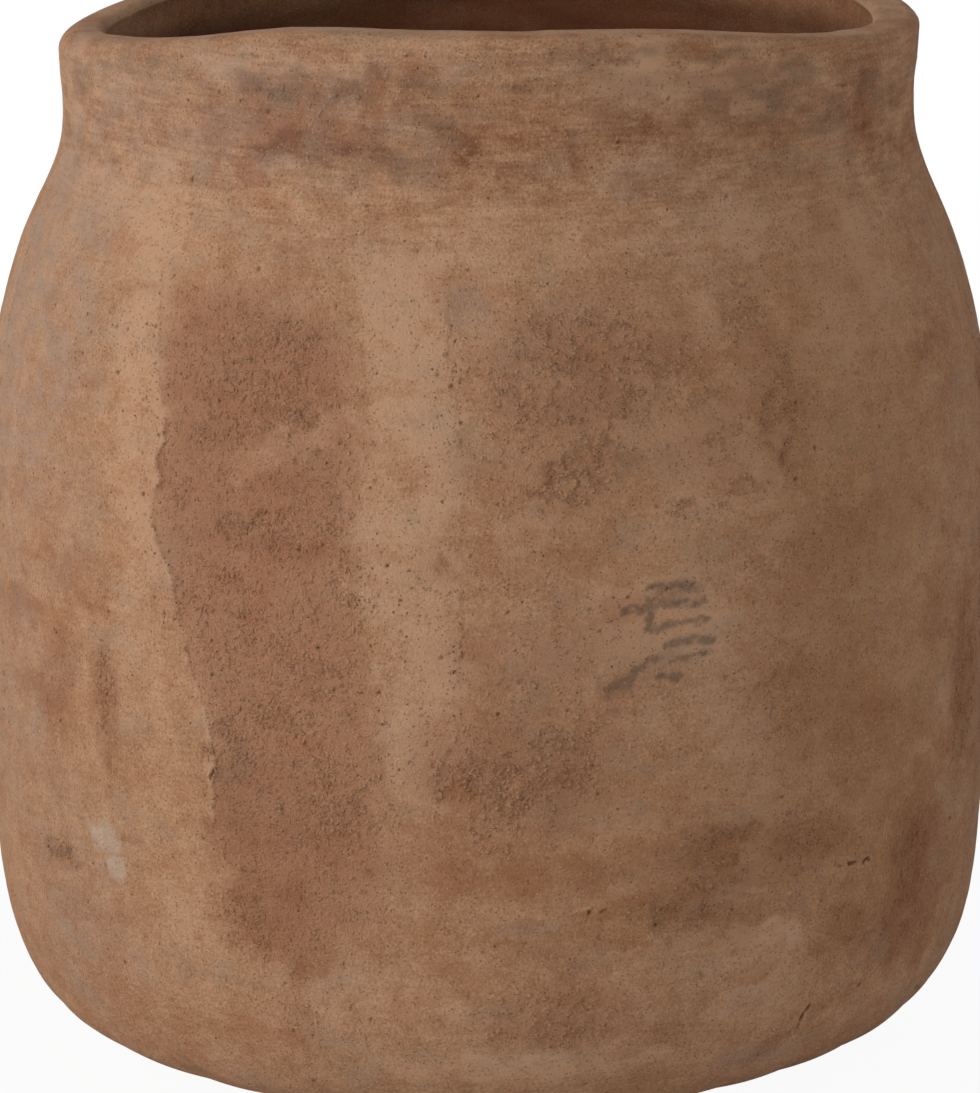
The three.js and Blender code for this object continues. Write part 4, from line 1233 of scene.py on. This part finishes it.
# %% Run the relief tree over the whole skin
traits = {"tone": tone, "crumbly": crumbly, "coarse": coarse, "pitted": pitted,
          "brushed": brushed, "inner_soil_and_shade": inner_soil_and_shade, **stains}
traits = {trait: np.broadcast_to(values, along.shape) for trait, values in traits.items()}
no_triangles = np.zeros((0, 3), int)
skin_index = np.arange(along.size).reshape(along.shape)
skin_mesh = make_mesh("skin", formed.reshape(-1, 3), quad_faces(skin_index, True), no_triangles,
                      {trait: traits[trait] for trait in ("crumbly", "coarse", "pitted", "brushed")})
skin = bpy.data.objects.new("skin", skin_mesh)
bpy.context.collection.objects.link(skin)
fine_relief = skin.modifiers.new("fine relief", "NODES")
fine_relief.node_group = relief_tree
for socket, (kind, value) in RELIEF_INPUTS.items():
    fine_relief[socket_ids[socket]] = value
finished_skin = evaluate(skin)
skin_points = np.empty(along.size * 3, np.float32)
finished_skin.vertices.foreach_get("co", skin_points)
finished = skin_points.reshape(*along.shape, 3).astype(float) / MM
pit_shade_values = np.empty(along.size, np.float32)
finished_skin.attributes["hollow_shade_and_cracks"].data.foreach_get("value", pit_shade_values)
traits["hollow_shade_and_cracks"] = np.clip(pit_shade_values.reshape(along.shape) + cracks, 0, 1)
finished_normals = sheet_normals(finished)
bpy.data.objects.remove(skin)
bpy.data.meshes.remove(skin_mesh)
bpy.data.meshes.remove(finished_skin)
deepest = float(np.linalg.norm(finished - formed, axis=-1).max())
print("deepest crumb or pit:", round(deepest, 2), "mm")

# %% [markdown]
# Shade is painted into the low spots between the crumbs, and a highlight onto their tops.
# So every point is compared with the average of its neighbours, up to three points away: lower
# ones go darker, higher ones go lighter.

# %% Painted shade in the hollows, painted highlights on the tops
stands_out = ((finished - sheet) * outward).sum(axis=-1)
average = stands_out
for axis in (0, 1):
    average = sum(np.roll(average, shift, axis) for shift in range(-3, 4)) / 7
stands_out = stands_out - average
# Low points get painted shade, high points a painted highlight.
traits["hollow_shade_and_cracks"] = np.clip(traits["hollow_shade_and_cracks"] + 0.42 * np.maximum(-stands_out - 0.04, 0) * outside, 0, 1)
traits["tone"] = traits["tone"] + np.clip(0.3 * stands_out, -0.08, 0.15) * outside
print("points stand out by up to", round(float(stands_out.max()), 2), "mm")

# %% [markdown]
# ## Loose grit
# The coarsest crumbs of grog stand clear of the worn clay and cast small shadows of their own.
# There are thousands of them, so a second node tree scatters one 20-sided grain over the skin,
# each turned and sized by chance. A grain takes over the colour marks of the spot it stands on.

# %% A node tree for grit
grit_tree = bpy.data.node_groups.new("grit", "GeometryNodeTree")
GRIT_INPUTS = {
    "Crumbs per square metre": ("NodeSocketFloat", 150000.0),
    "Sand per square metre": ("NodeSocketFloat", 26000.0),
    "Smallest grain": ("NodeSocketVector", (0.6 * MM, 0.4 * MM, 0.3 * MM)),
    "Largest grain": ("NodeSocketVector", (1.8 * MM, 0.9 * MM, 0.7 * MM)),
    "Seed": ("NodeSocketInt", 7), "Clay": ("NodeSocketMaterial", clay),
}
grit_tree.interface.new_socket("Geometry", in_out="INPUT", socket_type="NodeSocketGeometry")
grit_ids = {}
for socket, (kind, value) in GRIT_INPUTS.items():
    made = grit_tree.interface.new_socket(socket, in_out="INPUT", socket_type=kind)
    grit_ids[socket] = made.identifier
grit_tree.interface.new_socket("Geometry", in_out="OUTPUT", socket_type="NodeSocketGeometry")
grit_entry = grit_tree.nodes.new("NodeGroupInput")
grit_leave = grit_tree.nodes.new("NodeGroupOutput")
grit_masks = {
    trait: add_node(grit_tree, "GeometryNodeInputNamedAttribute", {"data_type": "FLOAT"}, {
        "Name": trait}).outputs["Attribute"]
    for trait in ("crumbly", "coarse")
}
crumb_count = add_node(grit_tree, MATH, {"operation": "MULTIPLY"}, {
    0: grit_masks["coarse"], 1: grit_entry.outputs["Crumbs per square metre"]})
count = add_node(grit_tree, MATH, {"operation": "MULTIPLY_ADD"}, {
    0: grit_masks["crumbly"], 1: grit_entry.outputs["Sand per square metre"],
    2: crumb_count.outputs[0]})
scatter = add_node(grit_tree, "GeometryNodeDistributePointsOnFaces", None, {
    "Mesh": grit_entry.outputs["Geometry"], "Density": count.outputs[0],
    "Seed": grit_entry.outputs["Seed"]})
grain = add_node(grit_tree, "GeometryNodeMeshIcoSphere", None, {"Radius": 1.0, "Subdivisions": 1})
grain_size = add_node(grit_tree, "FunctionNodeRandomValue", {"data_type": "FLOAT_VECTOR"}, {
    0: grit_entry.outputs["Smallest grain"], 1: grit_entry.outputs["Largest grain"],
    "Seed": grit_entry.outputs["Seed"]})
spin = add_node(grit_tree, "FunctionNodeRandomValue", {"data_type": "FLOAT"}, {
    2: 0.0, 3: 2 * math.pi, "Seed": grit_entry.outputs["Seed"]})
spin_turn = add_node(grit_tree, "ShaderNodeCombineXYZ", None, {"Z": spin.outputs[1]})
stand = add_node(grit_tree, "FunctionNodeRotateRotation", {"rotation_space": "LOCAL"}, {
    0: scatter.outputs["Rotation"], 1: spin_turn.outputs[0]})
grains = add_node(grit_tree, "GeometryNodeInstanceOnPoints", None, {
    "Points": scatter.outputs["Points"], "Instance": grain.outputs["Mesh"],
    "Rotation": stand.outputs[0], "Scale": grain_size.outputs[0]})
all_grains = add_node(grit_tree, "GeometryNodeRealizeInstances", None, {
    "Geometry": grains.outputs[0]})
dressed_grains = add_node(grit_tree, "GeometryNodeSetMaterial", None, {
    "Geometry": all_grains.outputs[0], "Material": grit_entry.outputs["Clay"]})
grit_tree.links.new(dressed_grains.outputs[0], grit_leave.inputs[0])
print("nodes in the grit tree:", len(grit_tree.nodes))

# %% [markdown]
# The tree runs on the worn skin, and its result becomes one plain mesh. Grains lie higher than
# their surroundings, and their tone is raised a little: a painted highlight.

# %% Scatter the grit
worn_mesh = make_mesh("worn", finished.reshape(-1, 3), quad_faces(skin_index, True), no_triangles,
                      traits)
worn = bpy.data.objects.new("worn", worn_mesh)
bpy.context.collection.objects.link(worn)
scattering = worn.modifiers.new("grit", "NODES")
scattering.node_group = grit_tree
for socket, (kind, value) in GRIT_INPUTS.items():
    scattering[grit_ids[socket]] = value
grit_mesh = evaluate(worn)
grit_mesh.name = "grit"
bpy.data.objects.remove(worn)
bpy.data.meshes.remove(worn_mesh)
# The grains' tone is raised: a painted highlight.
GRAIN_PAINTED_HIGHLIGHT = 0.12
grain_tone = np.empty(len(grit_mesh.vertices), np.float32)
grit_mesh.attributes["tone"].data.foreach_get("value", grain_tone)
grit_mesh.attributes["tone"].data.foreach_set("value", grain_tone + GRAIN_PAINTED_HIGHLIGHT)
grit = bpy.data.objects.new("grit", grit_mesh)
bpy.context.collection.objects.link(grit)
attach(grit, "root")
carried = [trait for trait in traits if trait in grit_mesh.attributes]
print("grains of grit:", len(grit_mesh.polygons) // 20, "with", len(carried), "marks of the wall")

# %% [markdown]
# ## Cutting the skin into the part's pieces
# Each piece takes its own rows and columns of the skin, closes through the wall along its joints,
# and keeps the skin's normals, so that no seam shows where the relief runs on.


# %% Piece helpers
def span(first, last):
    """Row numbers from one to the other, both included, going on past the end of the sheet."""
    if last < first:
        last += ROW_COUNT
    return np.arange(first, last + 1) % ROW_COUNT


def end_faces(outer, outer_up, inner, inner_up):
    """Triangles that close a slab's edge between its outer and its inner rows."""
    faces = []
    i = j = 0
    while i < len(outer) - 1 or j < len(inner) - 1:
        if j == len(inner) - 1 or (i < len(outer) - 1 and outer_up[i + 1] <= inner_up[j + 1]):
            faces.append((outer[i], outer[i + 1], inner[j]))
            i += 1
        else:
            faces.append((outer[i], inner[j + 1], inner[j]))
            j += 1
    return np.array(faces)


def cut_piece(name, piece_rows, piece_columns, is_ring):
    """A closed piece of the finished skin, with the skin's own normals and traits."""
    block = np.ix_(piece_rows, piece_columns)
    index = np.arange(len(piece_rows) * len(piece_columns)).reshape(len(piece_rows), -1)
    triangles = no_triangles
    if not is_ring:
        heights = rows["height"][piece_rows, 0]
        is_outer = rows["depth"][piece_rows, 0] < WALL / 2
        outer = np.flatnonzero(is_outer)
        inner = np.flatnonzero(~is_outer)[::-1]
        left = end_faces(index[outer, 0], heights[outer], index[inner, 0], heights[inner])
        right = end_faces(index[outer, -1], heights[outer], index[inner, -1], heights[inner])
        triangles = np.concatenate([left, right[:, ::-1]])
    mesh = make_mesh(name, finished[block].reshape(-1, 3), quad_faces(index, is_ring), triangles,
                     {trait: values[block] for trait, values in traits.items()})
    mesh.normals_split_custom_set_from_vertices(finished_normals[block].reshape(-1, 3))
    mesh.materials.append(clay)
    piece = bpy.data.objects.new(name, mesh)
    bpy.context.collection.objects.link(piece)
    return piece


# %% [markdown]
# Base, low strip, neck and lip are rings; the ten slabs between them are cut along the seams.
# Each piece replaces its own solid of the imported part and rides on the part's one body.

# %% Rings and slabs
foot_of = {joint: row_at[f"inner {joint}"]
           for joint in (HEEL_JOINT, LOWER_JOINT, UPPER_JOINT, RIM_JOINT)}
ring_rows = {
    "base_slab": span(foot_of[HEEL_JOINT], row_at["low wall outer foot"]),
    "heel_wall": np.concatenate([
        span(row_at["low wall outer foot"], row_at["belly outer foot"]),
        span(foot_of[LOWER_JOINT], foot_of[HEEL_JOINT])]),
    "neck_collar": np.concatenate([
        span(row_at["neck outer foot"], row_at["rim outer foot"]),
        span(foot_of[RIM_JOINT], foot_of[UPPER_JOINT])]),
    "rim_coil": span(row_at["rim outer foot"], foot_of[RIM_JOINT]),
}
slab_rows = np.concatenate([
    span(row_at["belly outer foot"], row_at["neck outer foot"]),
    span(foot_of[UPPER_JOINT], foot_of[LOWER_JOINT])])
pieces = {}
for name, piece_rows in ring_rows.items():
    pieces[name] = cut_piece(f"{name}_skin", piece_rows, np.arange(COLUMN_COUNT), True)
for slab, first in enumerate(slab_first_column):
    last = slab_first_column[slab + 1] if slab + 1 < len(SEAMS) else COLUMN_COUNT
    slab_columns = np.arange(first, last + 1) % COLUMN_COUNT
    name = f"wall_slab_{slab + 1:02d}"
    pieces[name] = cut_piece(f"{name}_skin", slab_rows, slab_columns, False)
for name, piece in pieces.items():
    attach(piece, "root")
    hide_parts(name)
    triangle_count = sum(len(face.vertices) - 2 for face in piece.data.polygons)
    print(name, triangle_count, "triangles")

# %% [markdown]
# ## Studio
# A big soft light from the left and a little in front gives the slow fall of brightness to the
# right in the photograph. A weaker one from the front right and an even white room fill the rest.

# %% Lights
world = bpy.data.worlds.new("white_room")
world.use_nodes = True
bpy.context.scene.world = world
seen = world.node_tree.nodes.new("ShaderNodeLightPath")
first_two = add_node(world.node_tree, MATH, {"operation": "MAXIMUM"}, {
    0: seen.outputs["Is Camera Ray"], 1: seen.outputs["Is Transmission Ray"]})
all_three = add_node(world.node_tree, MATH, {"operation": "MAXIMUM"}, {
    0: first_two.outputs[0], 1: seen.outputs["Is Glossy Ray"]})
room_light = add_node(world.node_tree, MATH, {"operation": "MAXIMUM"}, {
    0: all_three.outputs[0], 1: 0.24})
background = world.node_tree.nodes["Background"]
background.inputs["Color"].default_value = (1, 1, 1, 1)
world.node_tree.links.new(room_light.outputs[0], background.inputs["Strength"])


def softbox(name, azimuth, elevation, distance, width, power):
    """A square soft light that looks at the middle of the jar."""
    data = bpy.data.lights.new(name, "AREA")
    data.shape = "RECTANGLE"
    data.size = width
    data.size_y = 2.0
    data.energy = power
    lamp = bpy.data.objects.new(name, data)
    turn, rise = math.radians(azimuth), math.radians(elevation)
    lamp.location = (distance * math.cos(rise) * math.sin(turn),
                     -distance * math.cos(rise) * math.cos(turn),
                     0.26 + distance * math.sin(rise))
    lamp.rotation_euler = (math.radians(90) - rise, 0, turn)
    bpy.context.collection.objects.link(lamp)
    return lamp


lamps = [softbox("left_softbox", -62, 20, 3.0, 2.2, 60), softbox("right_fill", 40, 20, 3.2, 2.0, 20)]
print("lamps:", ", ".join(f"{lamp.name} {lamp.data.energy:.0f} W" for lamp in lamps))

# %% [markdown]
# The photograph's background is pure white. The floor shows as white to the camera and keeps
# part of the jar's soft shadow.

# %% Floor
FLOOR_HALF = 4.0
corners = [(-FLOOR_HALF, -FLOOR_HALF, 0), (FLOOR_HALF, -FLOOR_HALF, 0), (FLOOR_HALF, FLOOR_HALF, 0),
           (-FLOOR_HALF, FLOOR_HALF, 0)]
floor_mesh = bpy.data.meshes.new("studio_floor")
floor_mesh.from_pydata(corners, [], [(0, 1, 2, 3)])
floor = bpy.data.objects.new("studio_floor", floor_mesh)
bpy.context.collection.objects.link(floor)
paper = bpy.data.materials.new("white_paper")
paper.use_nodes = True
paper_tree = paper.node_tree
matt = paper_tree.nodes["Principled BSDF"]
matt.inputs["Base Color"].default_value = linear("#e6e6e6")
matt.inputs["Roughness"].default_value = 1
glow = add_node(paper_tree, "ShaderNodeEmission", None, {"Strength": 1.0})
paper_seen = paper_tree.nodes.new("ShaderNodeLightPath")
to_eye = add_node(paper_tree, MATH, {"operation": "MAXIMUM"}, {
    0: paper_seen.outputs["Is Camera Ray"], 1: paper_seen.outputs["Is Transmission Ray"]})
from_middle = add_node(paper_tree, "ShaderNodeVectorMath", {"operation": "LENGTH"}, {
    0: paper_tree.nodes.new("ShaderNodeTexCoord").outputs["Object"]})
whiteness = add_node(paper_tree, "ShaderNodeMapRange", None, {
    "Value": from_middle.outputs["Value"], "From Min": 0.25, "From Max": 0.75, "To Min": 0.94})
white_share = add_node(paper_tree, MATH, {"operation": "MULTIPLY"}, {
    0: to_eye.outputs[0], 1: whiteness.outputs[0]})
paper_mix = add_node(paper_tree, "ShaderNodeMixShader", None, {
    0: white_share.outputs[0], 1: matt.outputs[0], 2: glow.outputs[0]})
paper_out = paper_tree.nodes["Material Output"]
paper_tree.links.new(paper_mix.outputs[0], paper_out.inputs["Surface"])
floor_mesh.materials.append(paper)
bpy.context.scene.view_settings.view_transform = "Standard"
print("floor", 2 * FLOOR_HALF, "m wide")
